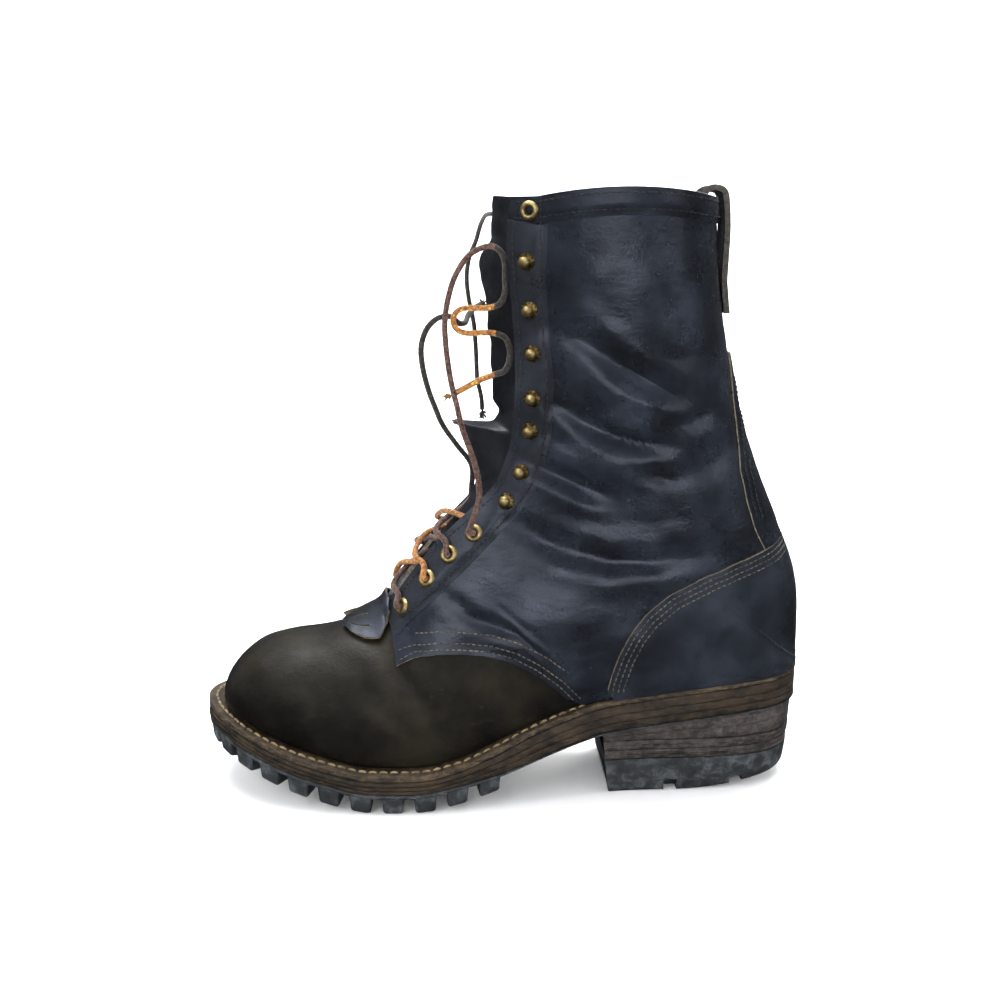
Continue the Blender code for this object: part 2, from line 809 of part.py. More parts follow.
def hole_cutters(upper, collection):
    """One cutter for each eyelet's hole."""
    cutters = []
    for side, label in ((-1, "lateral"), (1, "medial")):
        for number, section in enumerate(EYELET_SECTIONS, 1):
            middle, normal = upper.place(section, side, EDGE_INSET)
            bpy.ops.mesh.primitive_cylinder_add(
                vertices=HOLE_SIDES, radius=(EYELET_TUBE + HOLE_CLEARANCE) * MM, depth=HOLE_DEPTH * MM
            )
            cutter = bpy.context.object
            cutter.name = f"hole_{label}_{number}"
            cutter.matrix_world = seat_matrix(middle, normal)
            move_to(cutter, collection)
            cutters.append((side, number, cutter))
    return cutters


def seat_matrix(place, normal):
    """Matrix that puts local Z along a direction at a place in millimetres."""
    turn = normal.to_track_quat("Z", "Y").to_matrix().to_4x4()
    return Matrix.Translation(place * MM) @ turn


def make_upper(upper, materials, parts, cutters, holes):
    """Vamp and quarters in one wall, with the quarters' edge raised over the vamp."""
    sides = (-1, 1)
    last = upper.last
    shell = upper_shell(
        upper, "upper", (-WALL, QUARTER_STEP), (0, last), (0, STEPS), sides,
        materials["shaft_leather"], parts,
    )
    skin = upper_shell(
        upper, "vamp_skin", (0.0, QUARTER_STEP * 3), (0, HEEL_ROW - 3), (0, STEPS), sides,
        None, cutters, overshoot=6.0,
    )
    outline = QUARTER_EDGE + [(0.622, 0.0), (-0.2, 0.0), (-0.2, 0.390)]
    boolean(skin, side_prism("vamp_outline", outline, cutters), "INTERSECT")
    boolean(shell, skin, "DIFFERENCE")
    for _, _, cutter in holes:
        boolean(shell, cutter, "DIFFERENCE")
    return shell


def make_overlay(upper, name, rows, steps, sides, outline, material, parts, cutters):
    """Leather laid on the quarters, cut from the upper's own function by a side-view outline."""
    seat = QUARTER_STEP + SEAM
    shell = upper_shell(upper, name, (seat, seat + OVERLAY), rows, steps, sides, material, parts)
    boolean(shell, side_prism(name + "_outline", outline, cutters), "INTERSECT")
    return shell


def make_overlays(upper, materials, parts, cutters, holes):
    """Counter, backstay, collar band and the two eyestays."""
    last = upper.last
    both = (-1, 1)
    worn = materials["worn_leather"]
    shaft = materials["shaft_leather"]
    below = [(1.2, 0.460), (1.2, 0.05), (0.660, 0.05)]
    make_overlay(
        upper, "counter", COUNTER_ROWS, (COUNTER_STEP, STEPS), both, COUNTER_TOP + below, worn, parts, cutters
    )
    seam = SEAM / COLLAR_HEIGHT
    floor = [(along, up + seam) for along, up in COUNTER_TOP if along > 0.9]
    edge = BACKSTAY_EDGE[:-1] + floor + [(1.2, 0.47), (1.2, BAND_LINE - seam)]
    edge[0] = (edge[0][0], BAND_LINE - seam)
    make_overlay(
        upper, "backstay", (BACKSTAY_ROW, last), (STEPS - 2, STEPS), both, edge, shaft, parts, cutters
    )
    band_outline = [(0.3, BAND_LINE), (1.2, BAND_LINE), (1.2, 1.2), (0.3, 1.2)]
    band = make_overlay(
        upper, "collar_band", (last - 2, last), (0, STEPS), both, band_outline, shaft, parts, cutters
    )
    stay = EYESTAY_REAR + EYESTAY_FRONT
    stay[0] = (stay[0][0], BAND_LINE - seam)
    stay[-1] = (stay[-1][0], BAND_LINE - seam)
    for side, label in ((-1, "lateral"), (1, "medial")):
        eyestay = make_overlay(
            upper, "eyestay_" + label, (CLOSED_ROW - 1, last), (0, FRONT_STEPS), (side,), stay,
            worn, parts, cutters,
        )
        for hole_side, number, cutter in holes:
            if hole_side == side:
                target = band if number == len(EYELET_SECTIONS) else eyestay
                boolean(target, cutter, "DIFFERENCE")


def tongue_row(upper, row, bulge):
    """Points across the tongue at one section, from the lateral wing to the medial wing."""
    inside = -(WALL + TONGUE_GAP)
    low, part = upper.locate(row)
    wings = {}
    for side in (-1, 1):
        wings[side] = [
            upper.lifted(low, side, step, inside).lerp(upper.lifted(low + 1, side, step, inside), part)
            for step in range(TONGUE_WINGS + 1)
        ]
    forward = upper.forward(row)
    (edge_x, edge_z), _ = upper.ends(row)
    start = wings[-1][0]
    end = wings[1][0]
    middle = (start + end) / 2
    crown = Vector((edge_x, middle.y, edge_z)) + forward * bulge
    arch = []
    for step in range(1, TONGUE_ARCH):
        share = step / TONGUE_ARCH
        raise_by = math.sin(share * math.pi) ** 1.5
        arch.append(start.lerp(end, share) + (crown - middle) * raise_by)
    return list(reversed(wings[-1])) + arch + wings[1]


def grid_faces(rows, columns, skip=()):
    """Faces of a grid of points."""
    faces = []
    for row in range(rows - 1):
        for column in range(columns - 1):
            if (row, column) not in skip:
                start = row * columns + column
                faces.append((start, start + columns, start + columns + 1, start + 1))
    return faces


def grid_sheet(name, rows, thickness, material, collection, skip=()):
    """Sheet with a thickness behind a grid of points. Its front is to the left of its rows' way up."""
    count = len(rows)
    columns = len(rows[0])
    front, back = [], []
    for row in range(count):
        for column in range(columns):
            here = rows[row][column]
            along = rows[min(row + 1, count - 1)][column] - rows[max(row - 1, 0)][column]
            across = rows[row][min(column + 1, columns - 1)] - rows[row][max(column - 1, 0)]
            normal = along.cross(across).normalized()
            front.append(here)
            back.append(here - normal * thickness)
    used = {}
    faces = grid_faces(count, columns, skip)
    for face in faces:
        for index in face:
            used.setdefault(index, len(used))
    faces = [tuple(used[index] for index in face) for face in faces]
    front = [front[index] for index in used]
    back = [back[index] for index in used]
    return sheet_solid(name, front, back, faces, material, collection)


def make_tongue(upper, materials, parts):
    """Bellows tongue behind the throat, bulging forward between the facings, with its folded flap."""
    rows = [tongue_row(upper, section, bulge) for section, bulge in TONGUE_BULGE]
    return grid_sheet("tongue", rows, TONGUE, materials["tongue_leather"], parts)


def kiltie_point(upper, row, across, lift):
    """Point above the end of the vamp, or above the throat past its closed end."""
    side = -1 if across < 0 else 1
    if row <= CLOSED_ROW:
        return upper.place(row, side, abs(across), lift)[0]
    (x, z), _ = upper.ends(row)
    return Vector((x, across, z)) + upper.forward(row) * (lift - across * across / (2 * KILTIE_ROUND))


def make_kiltie(upper, materials, parts):
    """Fringed false tongue under the laces, with its front cut in strips."""
    pitch = 2 / (KILTIE_STRIPS - KILTIE_SLOT)
    shares = []
    for strip in range(KILTIE_STRIPS):
        start = -1 + strip * pitch
        shares += [start, start + pitch * (1 - KILTIE_SLOT)]
    rows = []
    for number, (section, half, lift) in enumerate(KILTIE_ROWS):
        row = []
        for column, share in enumerate(shares):
            strip = column // 2
            curl = KILTIE_CURL * math.sin(KILTIE_WAVE[0] * strip + KILTIE_WAVE[1]) * max(1 - number / 2, 0)
            rise = lift * (1 - KILTIE_DROOP * share ** 2) + curl
            row.append(kiltie_point(upper, section, share * half, KILTIE + rise))
        rows.append(row)
    slots = {
        (row, column) for row in range(KILTIE_CUT_ROWS) for column in range(1, len(shares) - 1, 2)
    }
    return grid_sheet("kiltie", rows, KILTIE, materials["worn_leather"], parts, skip=slots)


def make_pull_loop(upper, materials, parts):
    """Folded strap over the back of the collar."""
    rows = []
    half = LOOP_WIDTH / 2
    for over, stand_off in LOOP_PATH:
        height = COLLAR_HEIGHT + over
        row = back_row(upper, min(height, COLLAR_HEIGHT))
        back_x = upper.ends(row)[1][0]
        points = []
        for share in (-1, 0, 1):
            y = share * half
            x = back_x + stand_off - y * y / (2 * LOOP_ROUND)
            points.append(Vector((x, y, height)))
        rows.append(points)
    for number, points in enumerate(rows):
        rise = rows[min(number + 1, len(rows) - 1)][1] - rows[max(number - 1, 0)][1]
        shift = Vector((-rise.z, 0, rise.x)).normalized() * LOOP_THICKNESS / 2
        rows[number] = [point + shift for point in points]
    return grid_sheet("pull_loop", rows, LOOP_THICKNESS, materials["worn_leather"], parts)


def back_row(upper, height):
    """Row of the section table whose back point has a height."""
    low, high = float(HEEL_ROW), float(upper.last)
    for _ in range(HALVINGS):
        middle = (low + high) / 2
        if upper.ends(middle)[1][1] < height:
            low = middle
        else:
            high = middle
    return (low + high) / 2


def make_sole_layers(materials, parts):
    """Insole, welt and midsole."""
    loop = sole_loop(2)

    def inner_margin(x):
        return feather_margin(x) + WALL + INSOLE_GAP

    welt_hole = inset_loop(loop, WELT_RING)
    plug = inset_loop(loop, WELT_RING + SEAM)
    rest = inset_loop(loop, inner_margin)
    leather = materials["sole_leather"]
    outer = ring_at(loop, seat_height)
    outer_low = ring_at(loop, lambda x: midsole_top(x) + PLY_GAP)
    hole_low = ring_at(welt_hole, lambda x: midsole_top(x) + PLY_GAP)
    hole = ring_at(welt_hole, seat_height)
    join_meshes("welt", [loft_rings([outer, outer_low, hole_low, hole], caps=False)], leather, parts)
    levels = [
        ring_at(rest, lambda x: seat_height(x) + PLY_GAP + INSOLE),
        ring_at(rest, lambda x: seat_height(x) + PLY_GAP),
        ring_at(plug, lambda x: seat_height(x) + PLY_GAP),
        ring_at(plug, lambda x: midsole_top(x) + PLY_GAP),
    ]
    join_meshes("insole", [loft_rings(levels)], materials["insole_leather"], parts)
    levels = [ring_at(loop, midsole_top), ring_at(loop, lambda x: rubber_top(x) + SEAM)]
    join_meshes("midsole", [loft_rings(levels)], leather, parts)


def walk(loop, distance):
    """Point at a distance along a closed loop, backwards when negative."""
    chain = loop if distance >= 0 else [loop[0]] + list(reversed(loop[1:]))
    left = abs(distance)
    for index, start in enumerate(chain):
        end = chain[(index + 1) % len(chain)]
        run = math.hypot(end[0] - start[0], end[1] - start[1])
        if left <= run:
            share = left / run
            return (start[0] + (end[0] - start[0]) * share, start[1] + (end[1] - start[1]) * share)
        left -= run
    return chain[0]


def lug_block(corners_top, corners_bottom):
    """Lug as a block from just inside the rubber down to its tread face."""
    top = [(x, y, rubber_bottom(x) + LUG_ROOT) for x, y in corners_top]
    bottom = [(x, y, rubber_bottom(x) - LUG_HEIGHT) for x, y in corners_bottom]
    faces = [(0, 1, 2, 3), (7, 6, 5, 4)]
    faces += [(index, index + 4, (index + 1) % 4 + 4, (index + 1) % 4) for index in range(4)]
    area = sum(
        corners_top[i - 1][0] * corners_top[i][1] - corners_top[i][0] * corners_top[i - 1][1]
        for i in range(4)
    )
    if area < 0:
        faces = [tuple(reversed(face)) for face in faces]
    return top + bottom, faces


def edge_lug(edge, middle):
    """Lug on the sole's edge around a distance from the toe, or None past the forefoot."""
    half = LUG_WIDTH / 2
    start = Vector(walk(edge, middle - half))
    end = Vector(walk(edge, middle + half))
    if max(start.x, end.x) > length_place(LUG_END):
        return None
    run = end - start
    inwards = Vector((-run.y, run.x)).normalized()
    narrower = run * LUG_NARROWING
    top = [start, end, end + inwards * LUG_DEPTH - narrower, start + inwards * LUG_DEPTH + narrower]
    centre = sum(top, Vector((0, 0))) / len(top)
    bottom = [corner + (centre - corner).normalized() * LUG_LEAN for corner in top]
    return lug_block(top, bottom)


def centre_lugs():
    """Pairs of lugs inside the edge lugs."""
    blocks = []
    half = CENTRE_LUG / 2
    for number in range(CENTRE_ROWS):
        share = CENTRE_START + number * CENTRE_STEP
        x = length_place(share)
        lateral, medial = [width * BALL_WIDTH for width in steady_curve(SOLE_EDGE, share)]
        low = lateral + LUG_DEPTH + CENTRE_GAP
        high = medial - LUG_DEPTH - CENTRE_GAP
        middle = (low + high) / 2
        for start, end in ((low, middle - CENTRE_SPLIT), (middle + CENTRE_SPLIT, high)):
            if end - start < LUG_LEAN * 4:
                continue
            top = [(x - half, start), (x + half, start), (x + half, end), (x - half, end)]
            near = half - LUG_LEAN
            bottom = [
                (x - near, start + LUG_LEAN), (x + near, start + LUG_LEAN),
                (x + near, end - LUG_LEAN), (x - near, end - LUG_LEAN),
            ]
            blocks.append(lug_block(top, bottom))
    return blocks


def make_outsole(materials, parts, cutters):
    """Rubber sole with lugs under the forefoot, thin under the shank and the heel."""
    loop = sole_loop(2)
    edge = inset_loop(sole_loop(4), LUG_INSET)
    levels = [
        ring_at(loop, rubber_top),
        ring_at(inset_loop(loop, RUBBER_DRAFT), rubber_bottom),
    ]
    sole = join_meshes("outsole", [loft_rings(levels)], materials["rubber"], parts)
    blocks = []
    for number in range(-SIDE_LUGS - 1, SIDE_LUGS + 2):
        block = edge_lug(edge, number * LUG_PITCH)
        if block is not None:
            blocks.append(block)
    lugs = join_meshes("lugs", blocks + centre_lugs(), None, cutters)
    boolean(sole, lugs, "UNION").use_self = True
    return sole


def heel_ring(inset, breast, height, count=9):
    """Ring of the heel at a height: both sides from the breast to the rear, then across the breast."""
    loop = inset_loop(sole_loop(4), inset)
    half = len(loop) // 2
    sides = []
    for chain in (loop[: half + 1], [loop[0]] + list(reversed(loop[half:]))):
        kept = []
        for (x0, y0), (x1, y1) in zip(chain, chain[1:]):
            if x1 > breast:
                if not kept:
                    share = (breast - x0) / (x1 - x0)
                    kept.append((breast, y0 + (y1 - y0) * share))
                kept.append((x1, y1))
        runs = [0.0]
        for start, end in zip(kept, kept[1:]):
            runs.append(runs[-1] + math.hypot(end[0] - start[0], end[1] - start[1]))
        points = []
        for number in range(count + 1):
            target = runs[-1] * number / count
            index = max(i for i in range(len(runs) - 1) if runs[i] <= target + 1e-9)
            share = (target - runs[index]) / (runs[index + 1] - runs[index])
            (x0, y0), (x1, y1) = kept[index], kept[index + 1]
            points.append((x0 + (x1 - x0) * share, y0 + (y1 - y0) * share))
        sides.append(points)
    lateral, medial = sides
    front = (breast + BREAST_HOLLOW, (lateral[0][1] + medial[0][1]) / 2)
    ring = [front] + lateral + list(reversed(medial[:-1]))
    return ring_at(ring, height)


def heel_inset(height):
    """How far the heel has narrowed at a height."""
    top = STACK + HEEL_RISE
    return HEEL_TAPER * max(top - height, 0) / top


def breast_place(height):
    """X of the heel's breast at a height."""
    return length_place(HEEL_BREAST) + BREAST_SLOPE * max(1 - height / (STACK + HEEL_RISE), 0)


def make_heel(materials, parts, cutters):
    """Three leather lifts over a lugged rubber top lift."""
    leather = materials["sole_leather"]
    for number in range(HEEL_LIFTS):
        bottom = TOP_LIFT + LIFT * number
        top = level = bottom + LIFT - SEAM
        if number == HEEL_LIFTS - 1:
            level = rubber_bottom(length_place(POCKET_SHARE))
            top = under_seat
        levels = [
            heel_ring(heel_inset(level), breast_place(level), top),
            heel_ring(heel_inset(bottom), breast_place(bottom), bottom),
        ]
        join_meshes(f"heel_lift_{HEEL_LIFTS - number}", [loft_rings(levels)], leather, parts)
    top = TOP_LIFT - SEAM
    foot = heel_inset(0) + TREAD_BEVEL / 2
    levels = [
        heel_ring(heel_inset(top), breast_place(top), top),
        heel_ring(heel_inset(TREAD_BEVEL), breast_place(TREAD_BEVEL), TREAD_BEVEL),
        heel_ring(foot, breast_place(0) + TREAD_BEVEL / 2, 0.0),
    ]
    lift = join_meshes("top_lift", [loft_rings(levels)], materials["rubber"], parts)
    for number, block in enumerate(heel_notches()):
        cutter = box_cutter(f"heel_notch_{number}", block, cutters)
        boolean(lift, cutter, "DIFFERENCE")
    return lift


def under_seat(x):
    """Height of the highest lift's top, just under the rubber."""
    return rubber_bottom(x) - PLY_GAP


def heel_notches():
    """Centres and sizes of the slots cut in the top lift's tread."""
    height = NOTCH_HEIGHT * 2
    notches = []
    for share in NOTCH_SHARES:
        lateral, medial = steady_curve(SOLE_EDGE, share)
        for edge in (lateral * BALL_WIDTH, medial * BALL_WIDTH):
            notches.append(((length_place(share), edge, 0.0), (NOTCH_WIDTH, NOTCH_REACH * 2, height)))
    rear = (NOTCH_REACH * 2, NOTCH_WIDTH, height)
    notches.append(((length_place(1.0), BACK_SHIFT, 0.0), rear))
    notches.append(((length_place(POCKET_SHARE), BACK_SHIFT, 0.0), (POCKET_LENGTH, POCKET_WIDTH, height)))
    return notches


def box_cutter(name, block, collection):
    """Box cutter from a centre and a size in millimetres."""
    centre, size = block
    bpy.ops.mesh.primitive_cube_add(size=1.0, location=[value * MM for value in centre])
    cutter = bpy.context.object
    cutter.name = name
    cutter.scale = [value * MM for value in size]
    move_to(cutter, collection)
    return cutter


def turned(name, profile, steps, matrix, material, collection):
    """Turned piece from a profile of radius and height with a Screw modifier."""
    mesh = bpy.data.meshes.new(name)
    points = [(radius * MM, 0.0, height * MM) for radius, height in profile]
    closed = profile[0][0] > 0
    edges = [(index, index + 1) for index in range(len(points) - 1)]
    if closed:
        edges.append((len(points) - 1, 0))
    mesh.from_pydata(points, edges, [])
    obj = add_object(name, mesh, material, collection)
    screw = obj.modifiers.new("turn", "SCREW")
    screw.steps = steps
    screw.render_steps = steps
    screw.use_merge_vertices = True
    screw.merge_threshold = 0.00001
    screw.use_normal_calculate = False
    obj.matrix_world = matrix
    return obj


def make_hardware(upper, materials, parts):
    """Eyelets and lace hooks down both facings."""
    brass = materials["brass"]
    outside = QUARTER_STEP + SEAM + OVERLAY + HARDWARE_SEAT
    depth = outside + WALL - SEAM
    eyelet = [
        (EYELET_BORE + EYELET_ROLL, EYELET_RIM),
        (EYELET_RADIUS, 0.0),
        (EYELET_TUBE, 0.0),
        (EYELET_TUBE, -depth),
        (EYELET_BORE, -depth),
    ]
    hook = [
        (0.0, HOOK_HEIGHT),
        (HOOK_HEAD * HOOK_CROWN, HOOK_HEIGHT - HOOK_DOME),
        (HOOK_HEAD, HOOK_HEIGHT - HOOK_DOME - HOOK_RIM),
        (HOOK_NECK, HOOK_HEIGHT - HOOK_DOME - HOOK_RIM - HOOK_THROAT),
        (HOOK_NECK, HOOK_FLANGE),
        (HOOK_BASE, 0.0),
        (0.0, 0.0),
    ]
    for side, label in ((-1, "lateral"), (1, "medial")):
        for number, section in enumerate(EYELET_SECTIONS, 1):
            place, normal = upper.place(section, side, EDGE_INSET, outside)
            turned(f"eyelet_{label}_{number}", eyelet, EYELET_SIDES, seat_matrix(place, normal), brass, parts)
        for number, section in enumerate(HOOK_SECTIONS, 1):
            place, normal = upper.place(section, side, EDGE_INSET, outside)
            turned(f"hook_{label}_{number}", hook, HOOK_SIDES, seat_matrix(place, normal), brass, parts)


def eyelet_place(upper, side, number, out=0.0):
    """Middle of an eyelet, or a place that far outwards on its axis."""
    outside = QUARTER_STEP + SEAM + OVERLAY + HARDWARE_SEAT
    section = EYELET_SECTIONS[number - 1]
    place, normal = upper.place(section, side, EDGE_INSET, outside)
    return place + normal * out


def smooth_route(route, spacing):
    """Points every spacing millimetres on a smooth curve through a route."""
    points = [Vector(point) for point in route]
    padded = [points[0] * 2 - points[1]] + points + [points[-1] * 2 - points[-2]]
    dense = []
    for index in range(1, len(padded) - 2):
        around = padded[index - 1: index + 3]
        for step in range(8):
            share = step / 8
            dense.append(Vector([spline_value(*[p[axis] for p in around], share) for axis in range(3)]))
    dense.append(points[-1])
    total = sum((b - a).length for a, b in zip(dense, dense[1:]))
    count = max(int(round(total / spacing)), 2)
    picked = [dense[0]]
    walked = 0.0
    for start, end in zip(dense, dense[1:]):
        run = (end - start).length
        while len(picked) < count and walked + run >= total * len(picked) / count:
            picked.append(start.lerp(end, (total * len(picked) / count - walked) / run))
        walked += run
    picked.append(dense[-1])
    return picked


def tube(name, points, diameter, material, collection):
    """Cord as a curve object with a bevel and filled caps."""
    curve = bpy.data.curves.new(name, "CURVE")
    curve.dimensions = "3D"
    curve.bevel_depth = diameter / 2 * MM
    curve.bevel_resolution = 2
    curve.use_fill_caps = True
    spline = curve.splines.new("POLY")
    spline.points.add(len(points) - 1)
    for point, place in zip(spline.points, points):
        point.co = (place.x * MM, place.y * MM, place.z * MM, 1.0)
    return add_object(name, curve, material, collection)


def tube_mesh(obj):
    """The curve object as a mesh object with welded caps."""
    depsgraph = bpy.context.evaluated_depsgraph_get()
    mesh = bpy.data.meshes.new_from_object(obj.evaluated_get(depsgraph))
    work = bmesh.new()
    work.from_mesh(mesh)
    bmesh.ops.remove_doubles(work, verts=work.verts, dist=0.000001)
    work.to_mesh(mesh)
    work.free()
    name = obj.name
    collection = obj.users_collection[0]
    matrix = obj.matrix_world.copy()
    bpy.data.objects.remove(obj, do_unlink=True)
    new = bpy.data.objects.new(name, mesh)
    new.matrix_world = matrix
    collection.objects.link(new)
    return new


def bulge_at(row):
    """How far the tongue stands forward at a section."""
    return steady_curve(TONGUE_BULGE, row)[0]


def crossing_route(upper, first_side):
    """Lace from the lowest eyelets up to the fourth, from side to side over the throat."""
    rows = EYELET_SECTIONS[:4]
    route = []
    side = first_side
    for number, row in enumerate(rows):
        (x, z), _ = upper.ends(row)
        gap = max(section_values(row)[9] * BALL_WIDTH, 6.0)
        route.append(Vector((x, side * (gap - 1.0), z)) + upper.forward(row) * LACE_EDGE_LIFT)
        if number < len(rows) - 1:
            between = (row + rows[number + 1]) / 2
            (x, z), _ = upper.ends(between)
            lift = max(bulge_at(between) + LACE_CLEAR, LACE_LOWEST)
            if first_side > 0:
                lift += LACE_OVER
            route.append(Vector((x, 0, z)) + upper.forward(between) * lift)
        side = -side
    return route


def make_laces(upper, materials, parts, cutters):
    """Crossings joined in one solid, and the free tails as cords."""
    lace = materials["lace"]
    first = tube_mesh(tube("lace_crossings", crossing_route(upper, -1), LACE, lace, parts))
    second = tube_mesh(tube("second_run", crossing_route(upper, 1), LACE, None, cutters))
    boolean(first, second, "UNION")
    free = (
        ("lace_tail_lateral", -1, 4, LATERAL_TAIL, LACE),
        ("lace_tail_medial", 1, 4, MEDIAL_TAIL, LACE),
        ("lace_strand_medial", 1, len(EYELET_SECTIONS), MEDIAL_STRAND, THIN_LACE),
    )
    for name, side, number, route, diameter in free:
        start = [eyelet_place(upper, side, number, out) for out in LACE_LEAD]
        tube(name, smooth_route(start + route, LACE_SPACING), diameter, lace, parts)


def main():
    """Build every piece."""
    clear_scene()
    materials = make_materials()
    parts = make_collection("logger_boot")
    cutters = make_collection("cutters")
    upper = Upper()
    holes = hole_cutters(upper, cutters)
    make_upper(upper, materials, parts, cutters, holes)
    make_overlays(upper, materials, parts, cutters, holes)
    make_tongue(upper, materials, parts)
    make_kiltie(upper, materials, parts)
    make_pull_loop(upper, materials, parts)
    make_sole_layers(materials, parts)
    make_outsole(materials, parts, cutters)
    make_heel(materials, parts, cutters)
    make_hardware(upper, materials, parts)
    make_laces(upper, materials, parts, cutters)


main()
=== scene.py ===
"""Dressed model of a left logger boot: waxed leather shaft, stacked leather heel, lugged rubber sole.

Tables are in millimetres or in shares of the boot's length, collar height and ball width, and meshes are
made in metres. Toe towards -X, lateral side towards -Y, floor at Z = 0.
"""
import functools
import math
import random

import bpy
from mathutils import Matrix, Vector, noise


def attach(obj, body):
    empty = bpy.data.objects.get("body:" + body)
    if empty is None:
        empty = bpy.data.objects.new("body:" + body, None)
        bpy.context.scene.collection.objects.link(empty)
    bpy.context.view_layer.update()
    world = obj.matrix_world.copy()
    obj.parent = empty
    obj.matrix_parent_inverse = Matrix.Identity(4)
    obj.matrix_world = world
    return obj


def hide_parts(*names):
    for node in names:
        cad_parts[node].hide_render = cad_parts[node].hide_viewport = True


MM = 0.001
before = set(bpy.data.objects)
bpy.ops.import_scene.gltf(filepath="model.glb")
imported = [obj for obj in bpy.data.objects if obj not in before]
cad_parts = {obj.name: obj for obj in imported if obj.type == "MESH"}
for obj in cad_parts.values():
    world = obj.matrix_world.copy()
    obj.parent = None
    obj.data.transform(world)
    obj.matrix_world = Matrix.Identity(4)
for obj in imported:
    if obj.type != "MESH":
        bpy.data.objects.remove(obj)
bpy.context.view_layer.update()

# Driving sizes, as in the solids
LENGTH = 318.0
BALL_WIDTH = 111.5
COLLAR_HEIGHT = 304.0
INSTEP_HEIGHT = 104.5
TOE_SPRING = 23.0
HEEL_RISE = 39.5
WELT = 3.5
WELT_RING = 18.0
MIDSOLE = 5.5
SHANK_LEATHER = 11.0
RUBBER = 5.0
HEEL_SEAT_RUBBER = 3.5
LUG_HEIGHT = 7.0
LUG_WIDTH = 11.8
LUG_PITCH = 16.6
LUG_DEPTH = 15.0
LUG_LEAN = 1.1
LUG_NARROWING = 0.12
LUG_END = 0.515
SIDE_LUGS = 12
LUG_RELIEF = 1.4
PLATE = 2.2
SHANK_PLATE = 0.8
HEEL_WEAR = 7.5
HEEL_WEAR_RANGE = (92.0, 168.0)
EASED_ROW = 16.0
EASED_REACH = 0.4
EASED_RANGE = (0.5, 1.1)
COLLAR_CROWN = 4.0
CROWN_MIDDLE = 60.0
CROWN_REACH = 42.0
CREASE_DEPTH = 1.8
CREASE_NARROW = 1.15
EDGE_WEAR = 0.5
CENTRE_LUG = 10.5
CENTRE_ROWS = 6
CENTRE_START = 0.105
CENTRE_STEP = 0.066
CENTRE_GAP = 6.0
CENTRE_SPLIT = 2.2
STACK = WELT + MIDSOLE + RUBBER + LUG_HEIGHT
FOREFOOT_MARGIN = 9.5
HEEL_MARGIN = 3.0
TOP_LIFT = 19.0
LIFT = 5.2
HEEL_BREAST = 0.655
HEEL_TAPER = 5.0
BREAST_SLOPE = 5.0
BREAST_HOLLOW = 1.5
NOTCH_WIDTH = 7.0
NOTCH_HEIGHT = 6.5
NOTCH_REACH = 13.0
NOTCH_SHARES = (0.775, 0.885)
HEEL_MIDDLE = 0.83
BREAST_SLOT = (26.0, 20.0)
SHANK = (0.40, 0.56)
WALL = 2.0
VAMP_WALL = 1.9
VAMP_UNDERLAP = 0.45
QUARTER_STEP = 1.0
SEAM = 0.3
OVERLAY = 1.6
TONGUE = 1.8
KILTIE = 1.6
TONGUE_GAP = 1.0
TONGUE_WINGS = 2.0
FRONT_STEPS = 5
BACK_STEPS = 4
STEPS = FRONT_STEPS + BACK_STEPS
CLOSED_ROW = 9
HEEL_ROW = 16
LAST_ROW = 24
QUARTER_ROW = 9.08
BACK_SHIFT = 2.0
FEATHER_GAP = 0.8
EDGE_INSET = 10.5
HARDWARE_SEAT = 0.9
LACE = 3.2
LACE_SPACING = 0.7
TUFT_LENGTH = 4.0
TUFT_STRANDS = 22
ORANGE_FROM = 0.57
LACE_OVER = 1.1
# Past this X and above TAIL_START the lateral tail is painted in shade, behind the facing's edge
BEHIND_FACING = -3.0
TAIL_START = 205.0
LACE_EDGE_LIFT = 6.2
LACE_CLEAR = 1.95
LACE_LOWEST = 3.7
THIN_LACE = 2.6
LOOP_WIDTH = 20.0
LOOP_THICKNESS = 1.8
LOOP_FOLD = 1.7
LOOP_ROUND = 38.0
KILTIE_STRIPS = 6
KILTIE_SLOT = 0.14
KILTIE_CURL = 0.8
KILTIE_DROOP = 0.5
KILTIE_ROUND = 30.0

# Sole edge seen from above: share of the length, then half widths as shares of the ball width
SOLE_EDGE = [
    # along, lateral, medial
    (0.000, 0.090, 0.090), (0.016, -0.085, 0.255), (0.055, -0.245, 0.350), (0.105, -0.350, 0.420),
    (0.165, -0.422, 0.465), (0.240, -0.475, 0.493), (0.320, -0.500, 0.500), (0.400, -0.492, 0.462),
    (0.480, -0.450, 0.395), (0.560, -0.398, 0.325), (0.640, -0.357, 0.292), (0.720, -0.333, 0.305),
    (0.800, -0.328, 0.335), (0.880, -0.312, 0.333), (0.940, -0.262, 0.288), (0.982, -0.152, 0.185),
    (1.000, 0.018, 0.018),
]

# Height of the welt's top over the forefoot stack, as shares of the toe spring and the heel rise
SEAT_LINE = [
    # along, toe share, heel share
    (0.000, 1.00, 0.00), (0.045, 0.87, 0.00), (0.090, 0.67, 0.00), (0.125, 0.50, 0.00),
    (0.180, 0.28, 0.00), (0.235, 0.11, 0.00), (0.285, 0.00, 0.00), (0.360, 0.00, 0.00),
    (0.420, 0.00, 0.08), (0.485, 0.00, 0.27), (0.550, 0.00, 0.50), (0.610, 0.00, 0.67),
    (0.665, 0.00, 0.79), (0.740, 0.00, 0.87), (0.820, 0.00, 0.95), (0.910, 0.00, 1.02),
    (1.000, 0.00, 1.05),
]

